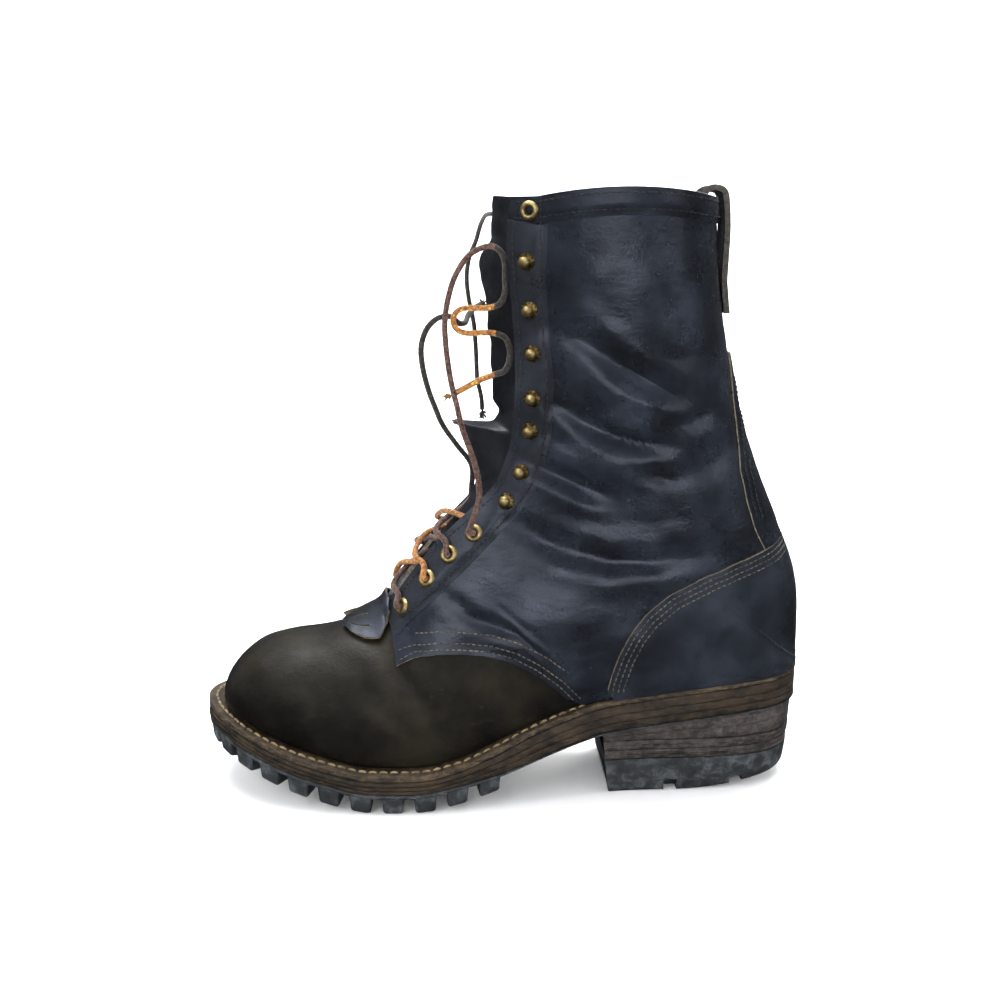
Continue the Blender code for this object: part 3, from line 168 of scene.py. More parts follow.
# Sections of the upper, from the toe's tip round to the collar, in the same shares as the solids
SECTIONS = [
    # front, front rise, back, back rise, lateral, medial, widest, front full, back full, gap, sharp
    (0.030, 0.430, 0.030, 0.00, 0.090, 0.090, 0.90, 2.0, 2.0, 0.000, 0.0),
    (0.031, 0.478, 0.038, 0.00, -0.060, 0.230, 0.90, 2.0, 2.0, 0.000, 0.0),
    (0.042, 0.552, 0.058, 0.00, -0.175, 0.305, 0.88, 2.1, 2.0, 0.000, 0.0),
    (0.063, 0.628, 0.085, 0.00, -0.255, 0.360, 0.85, 2.3, 2.0, 0.000, 0.0),
    (0.096, 0.700, 0.120, 0.00, -0.312, 0.390, 0.80, 2.4, 2.0, 0.000, 0.0),
    (0.142, 0.742, 0.163, 0.00, -0.358, 0.410, 0.77, 2.4, 2.0, 0.000, 0.0),
    (0.195, 0.778, 0.212, 0.00, -0.398, 0.423, 0.76, 2.3, 2.0, 0.000, 0.1),
    (0.245, 0.825, 0.260, 0.00, -0.428, 0.435, 0.75, 2.1, 2.0, 0.000, 0.2),
    (0.283, 0.868, 0.305, 0.00, -0.442, 0.438, 0.75, 2.0, 2.0, 0.000, 0.4),
    (0.312, 0.920, 0.355, 0.00, -0.445, 0.428, 0.75, 2.0, 2.0, 0.000, 0.6),
    (0.350, 1.035, 0.425, 0.00, -0.435, 0.402, 0.73, 2.0, 2.0, 0.125, 1.0),
    (0.400, 1.137, 0.520, 0.00, -0.405, 0.358, 0.69, 2.0, 2.0, 0.145, 1.0),
    (0.452, 1.222, 0.640, 0.00, -0.372, 0.330, 0.64, 2.0, 2.0, 0.160, 1.0),
    (0.493, 1.296, 0.780, 0.00, -0.352, 0.335, 0.60, 2.0, 2.2, 0.175, 1.0),
    (0.514, 1.385, 0.900, 0.00, -0.340, 0.338, 0.57, 2.0, 2.3, 0.195, 1.0),
    (0.520, 1.435, 0.965, 0.00, -0.335, 0.337, 0.55, 2.0, 2.1, 0.205, 1.0),
    (0.522, 1.470, 0.988, 0.00, -0.333, 0.337, 0.53, 2.0, 2.1, 0.212, 1.0),
    (0.523, 1.510, 0.990, 0.07, -0.333, 0.337, 0.52, 2.0, 2.4, 0.220, 1.0),
    (0.524, 1.565, 0.982, 0.19, -0.333, 0.338, 0.50, 2.0, 2.4, 0.228, 1.0),
    (0.523, 1.620, 0.950, 0.31, -0.338, 0.341, 0.48, 2.0, 2.4, 0.236, 1.0),
    (0.521, 1.690, 0.914, 0.44, -0.354, 0.354, 0.47, 2.0, 2.3, 0.245, 1.0),
    (0.517, 1.770, 0.882, 0.57, -0.376, 0.376, 0.47, 2.0, 2.2, 0.255, 1.0),
    (0.513, 1.850, 0.859, 0.70, -0.399, 0.399, 0.47, 2.0, 2.2, 0.265, 1.0),
    (0.512, 1.930, 0.845, 0.84, -0.414, 0.414, 0.47, 2.0, 2.2, 0.275, 1.0),
    (0.518, 2.000, 0.834, 1.00, -0.423, 0.423, 0.47, 2.0, 2.2, 0.285, 1.0),
]

# A stacked lift's edge: share of its height and how far it is cut back, in millimetres
LIFT_PROFILE = [
    (1.0, 1.1), (0.96, 0.45), (0.86, 0.05), (0.54, 0.08), (0.5, 0.5), (0.46, 0.08), (0.12, 0.05),
    (0.04, 0.45), (0.0, 1.1),
]

# The rubber heel piece's edge: height and how far it is cut back
HEEL_PIECE_PROFILE = [
    (TOP_LIFT - 0.1, 1.0), (TOP_LIFT - 0.5, 0.2), (15.0, 0.05), (6.0, 0.1), (2.2, 0.2), (0.8, 0.8),
    (0.0, 1.8),
]

# Turned brass: radius and height over the leather, in millimetres
ROLLED_EYELET = [
    (2.1, -5.6), (2.1, 0.6), (2.45, 1.15), (3.1, 1.4), (4.0, 1.15), (4.6, 0.55), (4.85, -0.1), (4.6, -0.4),
]
HOOK_BASE = [
    (4.2, -0.4), (4.2, 0.15), (3.7, 0.55), (2.9, 0.7), (1.8, 1.3), (1.6, 2.6), (2.1, 3.1), (2.7, 3.15),
]
HOOK_HEAD = [HOOK_BASE[-1], (2.85, 3.5), (2.8, 4.0), (2.4, 4.7), (1.6, 5.2), (0.7, 5.4), (0.01, 5.42)]
HOOK_BEAD = [(0.55, -0.3), (0.62, 0.0), (0.45, 0.42), (0.01, 0.62)]
BEAD_RING = (3.7, 0.35)
BEADS = 12

# Side-view outlines of what lies on the upper: shares of the length and of the collar height
QUARTER_EDGE = [
    # along, up
    (0.305, 0.390), (0.309, 0.345), (0.316, 0.285), (0.329, 0.238), (0.365, 0.255), (0.399, 0.262),
    (0.434, 0.264), (0.475, 0.262), (0.513, 0.250), (0.550, 0.228), (0.588, 0.196), (0.622, 0.155),
    (0.650, 0.110),
]
COUNTER_TOP = [
    # along, up
    (0.660, 0.120), (0.667, 0.204), (0.682, 0.253), (0.701, 0.293), (0.726, 0.326), (0.764, 0.358),
    (0.802, 0.378), (0.862, 0.405), (0.918, 0.424), (0.953, 0.437), (1.060, 0.460),
]
BACKSTAY_EDGE = [
    # along, up
    (0.838, 0.960), (0.849, 0.862), (0.857, 0.793), (0.862, 0.707), (0.869, 0.635), (0.874, 0.559),
    (0.884, 0.510), (0.898, 0.462), (0.918, 0.424), (0.932, 0.380), (0.945, 0.320),
]
EYESTAY_REAR = [
    # along, up
    (0.569, 1.010), (0.569, 0.875), (0.572, 0.800), (0.581, 0.714), (0.578, 0.618), (0.557, 0.536),
    (0.525, 0.485), (0.447, 0.400), (0.352, 0.305), (0.334, 0.278), (0.322, 0.278), (0.313, 0.300),
]
BAND_LINE = 0.958

# Pitch, length and width of a stitch
UPPER_STITCH = (2.9, 2.3, 0.75)
WELT_STITCH = (5.4, 4.4, 1.5)
STITCH_RINGS = [
    # along, size, lift
    (-0.5, 0.25, -0.25), (-0.36, 0.8, 0.05), (0.0, 1.0, 0.22), (0.36, 0.8, 0.05), (0.5, 0.25, -0.25),
]

# How far the tongue stands forward of the throat's edges, in millimetres, by section
TONGUE_BULGE = [
    # section, bulge
    (9.90, -2.0), (11.00, 0.5), (12.00, 3.0), (12.60, 7.0), (13.10, 14.0), (13.60, 20.0), (14.10, 27.0),
    (14.52, 32.0), (14.80, 14.0), (15.10, 9.5), (15.90, 8.0), (16.80, 11.0), (19.80, 12.5),
    (20.90, 13.0), (21.70, 15.0), (22.20, 13.0), (22.70, 7.5), (24.00, 9.0),
]
KILTIE_ROWS = [
    # section, half width, lift
    (6.85, 10.0, 1.6), (7.15, 17.0, 2.2), (7.55, 22.0, 2.6), (8.00, 25.0, 3.0), (8.45, 26.0, 3.3),
    (8.75, 23.0, 3.6), (9.05, 15.0, 4.2), (9.25, 9.0, 5.0),
]
EYELET_SECTIONS = [9.72, 10.50, 11.15, 11.82, 23.52]
HOOK_SECTIONS = [12.90, 13.72, 16.00, 17.72, 19.55, 20.85, 22.20]

# Pull loop: height over the collar and stand-off from the back line, in millimetres
LOOP_PATH = [
    # over the collar, stand-off
    (-24.0, -5.0), (-2.0, -4.9), (2.8, -4.0), (5.2, -0.6), (5.2, 3.4), (3.6, 6.6), (-1.0, 8.0),
    (-15.0, 7.7), (-28.0, 6.2), (-40.0, 4.6), (-46.0, 4.4), (-57.0, 4.3),
]

# Free lace routes after they leave their eyelets, in millimetres
LATERAL_TAIL = [
    # x, y, z
    (-13.5, -35.5, 152.0), (-11.5, -36.0, 160.0), (-12.5, -34.0, 171.0), (-15.5, -30.0, 181.0),
    (-19.5, -27.0, 192.0), (-22.0, -25.0, 203.0), (-25.0, -24.0, 216.0), (-27.0, -24.0, 231.0),
    (-27.5, -24.0, 245.0), (-25.4, -24.0, 257.5), (-21.6, -24.0, 268.0), (-15.0, -24.1, 277.0),
    (-6.0, -24.8, 281.0), (-0.4, -25.7, 278.7), (2.0, -26.2, 273.0), (2.0, -26.2, 266.2),
    (2.0, -26.0, 259.4), (-0.4, -25.4, 253.7), (-6.0, -24.0, 251.4), (-12.0, -22.4, 251.3),
    (-17.5, -21.3, 251.2), (-21.7, -21.0, 249.4), (-23.5, -21.2, 245.2), (-21.7, -21.8, 241.0),
    (-17.5, -22.7, 239.2), (-10.5, -24.2, 239.3), (-3.6, -25.2, 239.2), (1.9, -25.2, 236.9),
    (4.2, -24.9, 231.4), (4.2, -24.7, 227.0), (1.9, -24.4, 220.9), (-3.6, -23.6, 218.6),
    (-10.5, -22.4, 216.0), (-18.0, -21.6, 212.0), (-24.5, -21.0, 208.5),
]
MEDIAL_TAIL = [
    # x, y, z
    (-15.0, 33.5, 151.0), (-15.0, 30.0, 164.0), (-23.0, 26.0, 176.0), (-30.0, 22.0, 187.0),
    (-34.0, 14.0, 198.0), (-37.0, 6.0, 208.0), (-39.5, 0.0, 220.0), (-40.0, -4.0, 231.0),
    (-37.0, -7.0, 240.0), (-31.5, -9.0, 245.5), (-25.0, -10.0, 246.5), (-20.5, -8.0, 243.0),
    (-17.5, -2.0, 243.0), (-16.0, 6.0, 246.0), (-13.0, 14.0, 249.0), (-9.0, 21.0, 251.0),
]
MEDIAL_STRAND = [
    # x, y, z
    (5.5, 48.0, 297.2), (0.0, 46.5, 297.4), (-4.0, 41.5, 297.4), (-6.5, 34.5, 296.2),
    (-9.0, 28.0, 291.5), (-11.5, 24.0, 283.5), (-15.0, 21.0, 275.0), (-16.5, 19.0, 265.0),
    (-15.5, 18.0, 254.0), (-13.0, 17.5, 241.0), (-12.0, 17.0, 226.0), (-11.5, 16.5, 213.0),
    (-9.5, 16.0, 203.0), (-9.0, 16.0, 196.0),
]

# Camera: place in millimetres, then yaw, pitch and roll in degrees
CAMERA_LENS = 45.0
CAMERA_PLACE = (-18.2, -641.3, 284.4)
CAMERA_ANGLES = (1.6, 11.8, -0.3)

# Paper sweep: radius and height in metres
PAPER_PROFILE = [
    (0.6, 0.0), (1.3, 0.0), (1.55, 0.04), (1.75, 0.14), (1.92, 0.32), (2.03, 0.55), (2.1, 0.9),
    (2.12, 1.6),
]
LIGHTS = [
    # name, place, aim, size in metres, power in watts
    ("key", (-0.95, -1.35, 1.25), (0, 0, 0.16), 1.3, 17),
    ("front", (0.15, -1.6, 0.42), (0, 0, 0.2), 0.75, 5.5),
    ("fill", (1.5, -1.2, 0.8), (0, 0, 0.14), 1.0, 5),
    ("top", (0.0, 0.35, 2.1), (0, 0, 0.1), 2.0, 58),
    ("rim", (0.9, 1.3, 1.0), (0, 0, 0.14), 0.9, 12),
    ("paper_wall", (0.0, 0.7, 1.9), (0.0, 2.1, 0.35), 1.6, 68),
]

# Creases pressed in by walking: side (0 for both), half width, depth, then side-view points, all in
# millimetres. A negative depth is a ridge.
CREASES = [
    (-1, 4.5, 2.0, [(24, 243), (37, 239), (51, 229), (67, 218), (81, 210), (96, 205)]),
    (-1, 4.0, 1.8, [(27, 206), (40, 196), (52, 190), (68, 185), (82, 188)]),
    (-1, 4.5, 1.8, [(7, 178), (23, 171), (38, 164), (53, 160)]),
    (-1, 5.0, 1.6, [(8, 142), (28, 133), (53, 126), (77, 126), (101, 131)]),
    (-1, 3.5, 1.1, [(60, 205), (74, 198), (92, 196), (106, 200)]),
    (-1, 3.2, 1.0, [(66, 172), (82, 168), (98, 172), (112, 180)]),
    (-1, 6.0, -1.4, [(30, 222), (48, 212), (66, 202), (84, 199)]),
    (-1, 6.0, -1.2, [(28, 182), (46, 176), (64, 172)]),
    (1, 4.5, 2.0, [(22, 238), (38, 232), (54, 226), (70, 214), (88, 208)]),
    (1, 4.0, 1.7, [(28, 200), (44, 192), (60, 186), (84, 184), (100, 190)]),
    (1, 4.5, 1.7, [(12, 176), (28, 166), (44, 162), (66, 164)]),
    (1, 5.0, 1.5, [(6, 140), (26, 130), (50, 122), (78, 122)]),
    (0, 4.0, 0.40, [(-78, 74), (-70, 62), (-60, 52), (-50, 44)]),
    (0, 4.4, 0.50, [(-64, 84), (-54, 70), (-44, 58), (-32, 48)]),
    (-1, 1.6, 0.35, [(34, 61), (38, 78), (41, 92), (47, 117)]),
    (0, 3.4, 0.9, [(-30, 108), (-16, 98), (2, 92), (22, 90)]),
]


# Kinds of node that the materials use most, and where a ramp's three tones lie
RAMP = "ShaderNodeValToRGB"
RANGE = "ShaderNodeMapRange"
MATHS = "ShaderNodeMath"
MIX = "ShaderNodeMix"
BUMP = "ShaderNodeBump"
TONE_STOPS = (0.36, 0.5, 0.66)


@functools.lru_cache(maxsize=None)
def linear(code, alpha=1.0):
    """Linear colour of an sRGB hex value."""
    parts = [int(code[index:index + 2], 16) / 255 for index in (1, 3, 5)]
    parts = [part / 12.92 if part <= 0.04045 else ((part + 0.055) / 1.055) ** 2.4 for part in parts]
    return (*parts, alpha)


def fill_inputs(tree, node, inputs):
    """Give a node's inputs their numbers, hex colours or other nodes' outputs."""
    for name, value in inputs.items():
        if isinstance(value, bpy.types.NodeSocket):
            tree.links.new(value, node.inputs[name])
        else:
            node.inputs[name].default_value = linear(value) if isinstance(value, str) else value


def add_node(tree, kind, inputs, output=0, stops=(), **settings):
    """Output of a new node with its settings and links; stops are a ramp's places and colours."""
    node = tree.nodes.new(kind)
    for name, value in settings.items():
        setattr(node, name, value)
    fill_inputs(tree, node, inputs)
    if stops:
        elements = node.color_ramp.elements
        while len(elements) < len(stops):
            elements.new(0.5)
        for element, (place, code) in zip(elements, stops):
            element.position = place
            element.color = linear(code)
    return node.outputs[output]


def new_material(name):
    """Material and its node tree."""
    material = bpy.data.materials.new(name)
    material.use_nodes = True
    return material, material.node_tree


def finish_material(material, **sockets):
    """The material, with its shader's sockets set or linked."""
    tree = material.node_tree
    inputs = {name.replace("_", " "): value for name, value in sockets.items()}
    fill_inputs(tree, tree.nodes["Principled BSDF"], inputs)
    return material


def object_noise(tree, size, detail=3.0, roughness=0.5, stretch=(1, 1, 1), distortion=0.0):
    """Noise whose features are about size millimetres, in the boot's own frame."""
    place = add_node(tree, "ShaderNodeTexCoord", {}, "Object")
    place = add_node(tree, "ShaderNodeMapping", {"Vector": place, "Scale": stretch})
    return add_node(tree, "ShaderNodeTexNoise", {
        "Vector": place, "Scale": 1 / (size * MM), "Detail": detail, "Roughness": roughness,
        "Distortion": distortion,
    }, "Fac")


def pebble_grain(tree, size):
    """Fine cells of a hide's grain, about size millimetres wide."""
    place = add_node(tree, "ShaderNodeTexCoord", {}, "Object")
    inputs = {"Vector": place, "Scale": 1 / (size * MM), "Smoothness": 0.6}
    return add_node(tree, "ShaderNodeTexVoronoi", inputs, "Distance", feature="SMOOTH_F1")


def oiled_hide(name, tones, dust, scuff_from, gloss, coat, tint="#ffffff"):
    """Oil-tanned cowhide, drum dyed and waxed: broad tone changes, fine pebble, dry scuffs."""
    material, tree = new_material(name)
    tone = object_noise(tree, 32, 4, 0.55)
    base = add_node(tree, RAMP, {"Fac": tone}, stops=list(zip(TONE_STOPS, tones)))
    scuffs = object_noise(tree, 5.5, 7, 0.7, (1, 1, 1.5), 0.2)
    worn = add_node(tree, "ShaderNodeAttribute", {}, "Fac", attribute_name="wear")
    scuffs = add_node(tree, MATHS, {0: worn, 1: 0.22, 2: scuffs}, operation="MULTIPLY_ADD")
    amount = add_node(tree, RANGE, {"Value": scuffs, "From Min": scuff_from, "From Max": scuff_from + 0.2})
    cover = add_node(tree, MATHS, {0: amount, 1: 0.75}, operation="MULTIPLY")
    colour = add_node(tree, MIX, {0: cover, 6: base, 7: dust}, 2, data_type="RGBA")
    smooth = add_node(tree, RANGE, {
        "Value": object_noise(tree, 14, 3, 0.6), "From Min": 0.3, "From Max": 0.7,
        "To Min": gloss - 0.09, "To Max": gloss + 0.12,
    })
    rough = add_node(tree, MATHS, {0: amount, 1: 0.08, 2: smooth}, operation="MULTIPLY_ADD")
    pebbles = pebble_grain(tree, 1.3)
    grain = add_node(tree, BUMP, {"Height": pebbles, "Distance": 0.1 * MM, "Strength": 0.75})
    folds = object_noise(tree, 7.5, 2, 0.5, (0.55, 1, 1.6), 0.3)
    normal = add_node(tree, BUMP, {"Height": folds, "Distance": 0.6 * MM, "Strength": 0.5, "Normal": grain})
    return finish_material(
        material, Base_Color=colour, Roughness=rough, Normal=normal, Coat_Weight=coat,
        Coat_Roughness=0.26, IOR=1.45, Specular_IOR_Level=0.5, Specular_Tint=tint,
    )


def cut_hide(name, dark, light):
    """Raw cut edge of thick hide: pale fibres rubbed and darkened by dressing."""
    material, tree = new_material(name)
    fibres = object_noise(tree, 1.6, 6, 0.7)
    colour = add_node(tree, RAMP, {"Fac": fibres}, stops=[(0.35, dark), (0.62, light)])
    normal = add_node(tree, BUMP, {"Height": fibres, "Distance": 0.35 * MM, "Strength": 0.8})
    return finish_material(material, Base_Color=colour, Roughness=0.85, Normal=normal)


def sole_hide(name, tones, dust, layer):
    """Vegetable-tanned sole leather, pressed, trimmed and stained: thin layers and dust on its edge."""
    material, tree = new_material(name)
    tone = object_noise(tree, 16, 3, 0.5, (1, 1, 2))
    base = add_node(tree, RAMP, {"Fac": tone}, stops=list(zip(TONE_STOPS, tones)))
    layers = object_noise(tree, layer, 3, 0.55, (0.04, 0.04, 1.0), 0.1)
    lines = add_node(tree, RANGE, {"Value": layers, "From Min": 0.36, "From Max": 0.50, "To Min": 0.66})
    edge = add_node(tree, MIX, {0: 1.0, 6: base, 7: lines}, 2, data_type="RGBA", blend_type="MULTIPLY")
    grit = object_noise(tree, 3.2, 8, 0.75, (1, 1, 1.6))
    cover = add_node(tree, RANGE, {"Value": grit, "From Min": 0.46, "From Max": 0.68, "To Max": 0.55})
    colour = add_node(tree, MIX, {0: cover, 6: edge, 7: dust}, 2, data_type="RGBA")
    rough = add_node(tree, RANGE, {
        "Value": grit, "From Min": 0.35, "From Max": 0.65, "To Min": 0.55, "To Max": 0.85,
    })
    first = add_node(tree, BUMP, {"Height": layers, "Distance": 0.22 * MM, "Strength": 0.5})
    normal = add_node(tree, BUMP, {"Height": grit, "Distance": 0.22 * MM, "Strength": 0.5, "Normal": first})
    return finish_material(
        material, Base_Color=colour, Roughness=rough, Normal=normal, IOR=1.46, Specular_IOR_Level=0.4,
    )


def moulded_rubber(name):
    """Vulcanised rubber, press moulded: near black, dull, with grey dust rubbed into its faces."""
    material, tree = new_material(name)
    dust = object_noise(tree, 7, 8, 0.72, (1, 1, 1.2), 0.4)
    stops = [(0.34, "#121417"), (0.5, "#212529"), (0.68, "#474c50")]
    colour = add_node(tree, RAMP, {"Fac": dust}, stops=stops)
    rough = add_node(tree, RANGE, {
        "Value": dust, "From Min": 0.3, "From Max": 0.7, "To Min": 0.55, "To Max": 0.9,
    })
    fine = object_noise(tree, 0.9, 3, 0.6)
    fine = add_node(tree, BUMP, {"Height": fine, "Distance": 0.12 * MM, "Strength": 0.6})
    normal = add_node(tree, BUMP, {"Height": dust, "Distance": 0.5 * MM, "Strength": 0.5, "Normal": fine})
    return finish_material(material, Base_Color=colour, Roughness=rough, Normal=normal, IOR=1.52)


def pressed_brass(name, dark, middle, light):
    """Pressed brass with its lacquer rubbed off: bright on high spots, brown in the hollows."""
    material, tree = new_material(name)
    tarnish = object_noise(tree, 2.4, 6, 0.65)
    stops = [(0.34, dark), (0.48, middle), (0.66, light)]
    colour = add_node(tree, RAMP, {"Fac": tarnish}, stops=stops)
    rough = add_node(tree, RANGE, {
        "Value": tarnish, "From Min": 0.3, "From Max": 0.7, "To Min": 0.56, "To Max": 0.38,
    })
    dents = object_noise(tree, 0.8, 3, 0.6)
    normal = add_node(tree, BUMP, {"Height": dents, "Distance": 0.06 * MM, "Strength": 0.5})
    return finish_material(material, Base_Color=colour, Metallic=1.0, Roughness=rough, Normal=normal)


def braided_cord(name, tones, fleck=None):
    """Braided polyester cord: each plait shows as a short slanting fleck."""
    material, tree = new_material(name)
    tone = object_noise(tree, 1.5, 4, 0.6)
    colour = add_node(tree, RAMP, {"Fac": tone}, stops=list(zip(TONE_STOPS, tones)))
    if fleck:
        spots = add_node(tree, RANGE, {
            "Value": pebble_grain(tree, 2.6), "From Min": 0.16, "From Max": 0.22,
            "To Min": 1.0, "To Max": 0.0,
        })
        colour = add_node(tree, MIX, {0: spots, 6: colour, 7: fleck}, 2, data_type="RGBA")
    strands = object_noise(tree, 0.5, 3, 0.6)
    normal = add_node(tree, BUMP, {"Height": strands, "Distance": 0.14 * MM, "Strength": 0.8})
    return finish_material(material, Base_Color=colour, Roughness=0.82, Sheen_Weight=0.15, Normal=normal)


def waxed_thread(name, dark, light):
    """Waxed thread, twisted and pulled down hard: dull, lighter where dust sticks to the wax."""
    material, tree = new_material(name)
    tone = object_noise(tree, 6, 5, 0.6)
    colour = add_node(tree, RAMP, {"Fac": tone}, stops=[(0.35, dark), (0.65, light)])
    twist = object_noise(tree, 0.5, 2, 0.5)
    normal = add_node(tree, BUMP, {"Height": twist, "Distance": 0.12 * MM, "Strength": 0.7})
    return finish_material(material, Base_Color=colour, Roughness=0.7, Normal=normal)


def make_materials():
    """Every finish on the boot, by the name that the pieces use."""
    night = "#ccd8f4"
    return {
        "shaft": oiled_hide(
            "oiled_cowhide_black", ("#0d0f12", "#13161b", "#1e222a"), "#33322f", 0.95, 0.30, 0.20, night
        ),
        "vamp": oiled_hide(
            "oiled_cowhide_walked", ("#090806", "#110f0c", "#1c1912"), "#3a3529", 0.66, 0.50, 0.0, "#aaa79e"
        ),
        "facing": oiled_hide(
            "oiled_cowhide_facing", ("#111214", "#191b1e", "#24262b"), "#3d3b37", 0.74, 0.34, 0.12, night
        ),
        "counter": oiled_hide(
            "oiled_cowhide_counter", ("#101215", "#171a1f", "#21252c"), "#4b4944", 0.66, 0.38, 0.12, night
        ),
        "tongue": oiled_hide(
            "soft_tongue_hide", ("#0b0c0e", "#121316", "#1b1c20"), "#2f2d2a", 0.74, 0.42, 0.06, "#d2d6e6"
        ),
        "lining": oiled_hide(
            "pigskin_lining", ("#2a241c", "#3d352b", "#52483c"), "#61584a", 0.62, 0.70, 0.0
        ),
        "edge": cut_hide("raw_hide_edge", "#2c2820", "#6f6655"),
        "dressed_edge": cut_hide("dressed_hide_edge", "#1b1a17", "#4a463e"),
        "sole": sole_hide("stained_sole_leather", ("#150f09", "#20170e", "#2e2215"), "#4a3d2a", 1.3),
        "heel": sole_hide("stained_heel_leather", ("#191614", "#272220", "#352f2c"), "#5f5753", 1.3),
        "welt": sole_hide("stained_welt_leather", ("#1c150e", "#2b2117", "#3f3122"), "#6c5d45", 1.8),
        "rubber": moulded_rubber("moulded_rubber"),
        "brass": pressed_brass("polished_brass", "#75643f", "#b09a66", "#dccb9c"),
        # Darker brass for the hooks' base rings: tarnish, and painted shade under the heads
        "shade_tarnish_brass": pressed_brass("brass_tarnish_and_shade", "#2c2417", "#5a4a2c", "#96804f"),
        "brown_cord": braided_cord("brown_braided_cord", ("#22130d", "#452b21", "#64463a")),
        "orange_cord": braided_cord("orange_braided_cord", ("#552f10", "#85531d", "#ab7733"), "#b59b45"),
        # Darker cord: painted shade on the lateral tail behind the facing, and the colour of the whole
        # medial tail and strand
        "dark_and_shaded_cord": braided_cord("dark_and_shaded_braided_cord", ("#14110f", "#241f1b", "#39322b")),
        "thread": waxed_thread("dark_waxed_thread", "#0e0e0f", "#201f1e"),
        "dusty_thread": waxed_thread("dusty_waxed_thread", "#26241f", "#575244"),
        "welt_thread": waxed_thread("tan_waxed_thread", "#574b34", "#8b7954"),
        "floor": finish_material(
            new_material("white_paper_sweep")[0], Base_Color="#f4f4f4", Roughness=0.95
        ),
    }


MATERIALS = make_materials()


def new_mesh(name, points, faces, scale=MM):
    """Mesh from points in millimetres."""
    mesh = bpy.data.meshes.new(name)
    mesh.from_pydata([tuple(value * scale for value in point) for point in points], [], faces)
    return mesh


def new_object(name, data):
    """Object in the scene."""
    thing = bpy.data.objects.new(name, data)
    bpy.context.scene.collection.objects.link(thing)
    return thing


def add_piece(name, shape, finishes, nodes=(), face_finish=None, smooth=40, wear=None):
    """Piece from points in millimetres and faces that rides on the boot and may stand for solids."""
    mesh = new_mesh(name, *shape)
    for finish in finishes:
        mesh.materials.append(MATERIALS[finish])
    if face_finish is not None:
        mesh.polygons.foreach_set("material_index", face_finish)
    mesh.shade_smooth()
    mesh.set_sharp_from_angle(angle=math.radians(smooth))
    if wear is not None:
        mesh.attributes.new("wear", "FLOAT", "POINT").data.foreach_set("value", wear)
    mesh.update()
    piece = new_object(name, mesh)
    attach(piece, "root")
    if nodes:
        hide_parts(*nodes)
    return piece


def round_edges(piece, name, width, angle, segments=2):
    """Rounded edges where faces meet at more than an angle."""
    modifier = piece.modifiers.new(name, "BEVEL")
    modifier.width = width * MM
    modifier.segments = segments
    modifier.limit_method = "ANGLE"
    modifier.angle_limit = math.radians(angle)
    return modifier


def ring_quads(rings, around, inwards=False):
    """Quads between rings of points, wound one way or the other."""
    faces = []
    for low in range(0, (rings - 1) * around, around):
        for index in range(around):
            here = low + index
            following = low + (index + 1) % around
            face = (here, following, following + around, here + around)
            faces.append((face[0], face[3], face[2], face[1]) if inwards else face)
    return faces


def closed_sheet(faces, total):
    """Faces of a sheet, its back total points later and its rim, and a finish's number for each."""
    used = set()
    for face in faces:
        used.update(zip(face, face[1:] + face[:1]))
    rim = [
        (end, start, start + total, end + total) for start, end in sorted(used) if (end, start) not in used
    ]
    back = [tuple(index + total for index in reversed(face)) for face in faces]
    return faces + back + rim, [0] * len(faces) + [1] * len(back) + [2] * len(rim)


def turning_value(is_below, low, high, rounds=24):
    """Value between low and high where is_below turns false."""
    for _ in range(rounds):
        middle = (low + high) / 2
        if is_below(middle):
            low = middle
        else:
            high = middle
    return (low + high) / 2


def join(parts):
    """Points and faces of several meshes in one."""
    points, faces = [], []
    for part_points, part_faces in parts:
        start = len(points)
        points += part_points
        faces += [tuple(start + index for index in face) for face in part_faces]
    return points, faces


def spline_value(before, start, end, after, share):
    """Catmull-Rom value between start and end."""
    slope_in = (end - before) / 2
    slope_out = (after - start) / 2
    square = share * share
    cube = square * share
    return (
        (2 * cube - 3 * square + 1) * start
        + (cube - 2 * square + share) * slope_in
        + (3 * square - 2 * cube) * end
        + (cube - square) * slope_out
    )


def steady_curve(table, at):
    """Smooth value of each later column at a value of the first, with no overshoot between rows."""
    last = len(table) - 1
    at = min(max(at, table[0][0]), table[last][0])
    index = max(i for i in range(last) if table[i][0] <= at)
    width = table[index + 1][0] - table[index][0]
    share = (at - table[index][0]) / width
    values = []
    for column in range(1, len(table[0])):
        slopes = [
            (table[i + 1][column] - table[i][column]) / (table[i + 1][0] - table[i][0])
            for i in range(last)
        ]
        ends = []
        for row in (index, index + 1):
            left = slopes[max(row - 1, 0)]
            right = slopes[min(row, last - 1)]
            ends.append(2 * left * right / (left + right) if left * right > 0 else 0.0)
        start = table[index][column]
        end = table[index + 1][column]
        values.append(
            spline_value(end - 2 * width * ends[0], start, end, start + 2 * width * ends[1], share)
        )
    return values


def length_place(share):
    """X of a share of the length, counted from the toe."""
    return (share - 0.5) * LENGTH


def length_share(x):
    """Share of the length at X."""
    return x / LENGTH + 0.5


def soft_step(value, start, end):
    """0 before start and 1 after end, with a soft change between."""
    share = min(max((value - start) / (end - start), 0.0), 1.0)
    return share * share * (3 - 2 * share)


@functools.lru_cache(maxsize=None)
def seat_height(x):
    """Height of the welt's top."""
    toe, heel = steady_curve(SEAT_LINE, length_share(x))
    return STACK + toe * TOE_SPRING + heel * HEEL_RISE


def forefoot_share(x):
    """1 under the forefoot and 0 from the shank back."""
    return 1 - soft_step(length_share(x), *SHANK)


def midsole_top(x):
    """Height of the midsole's top."""
    return seat_height(x) - WELT


def rubber_top(x):
    """Height of the rubber's top."""
    return midsole_top(x) - MIDSOLE - (SHANK_LEATHER - MIDSOLE) * soft_step(length_share(x), *SHANK)


def rubber_bottom(x):
    """Height of the rubber's underside between the lugs."""
    return rubber_top(x) - RUBBER - (HEEL_SEAT_RUBBER - RUBBER) * soft_step(length_share(x), *SHANK)


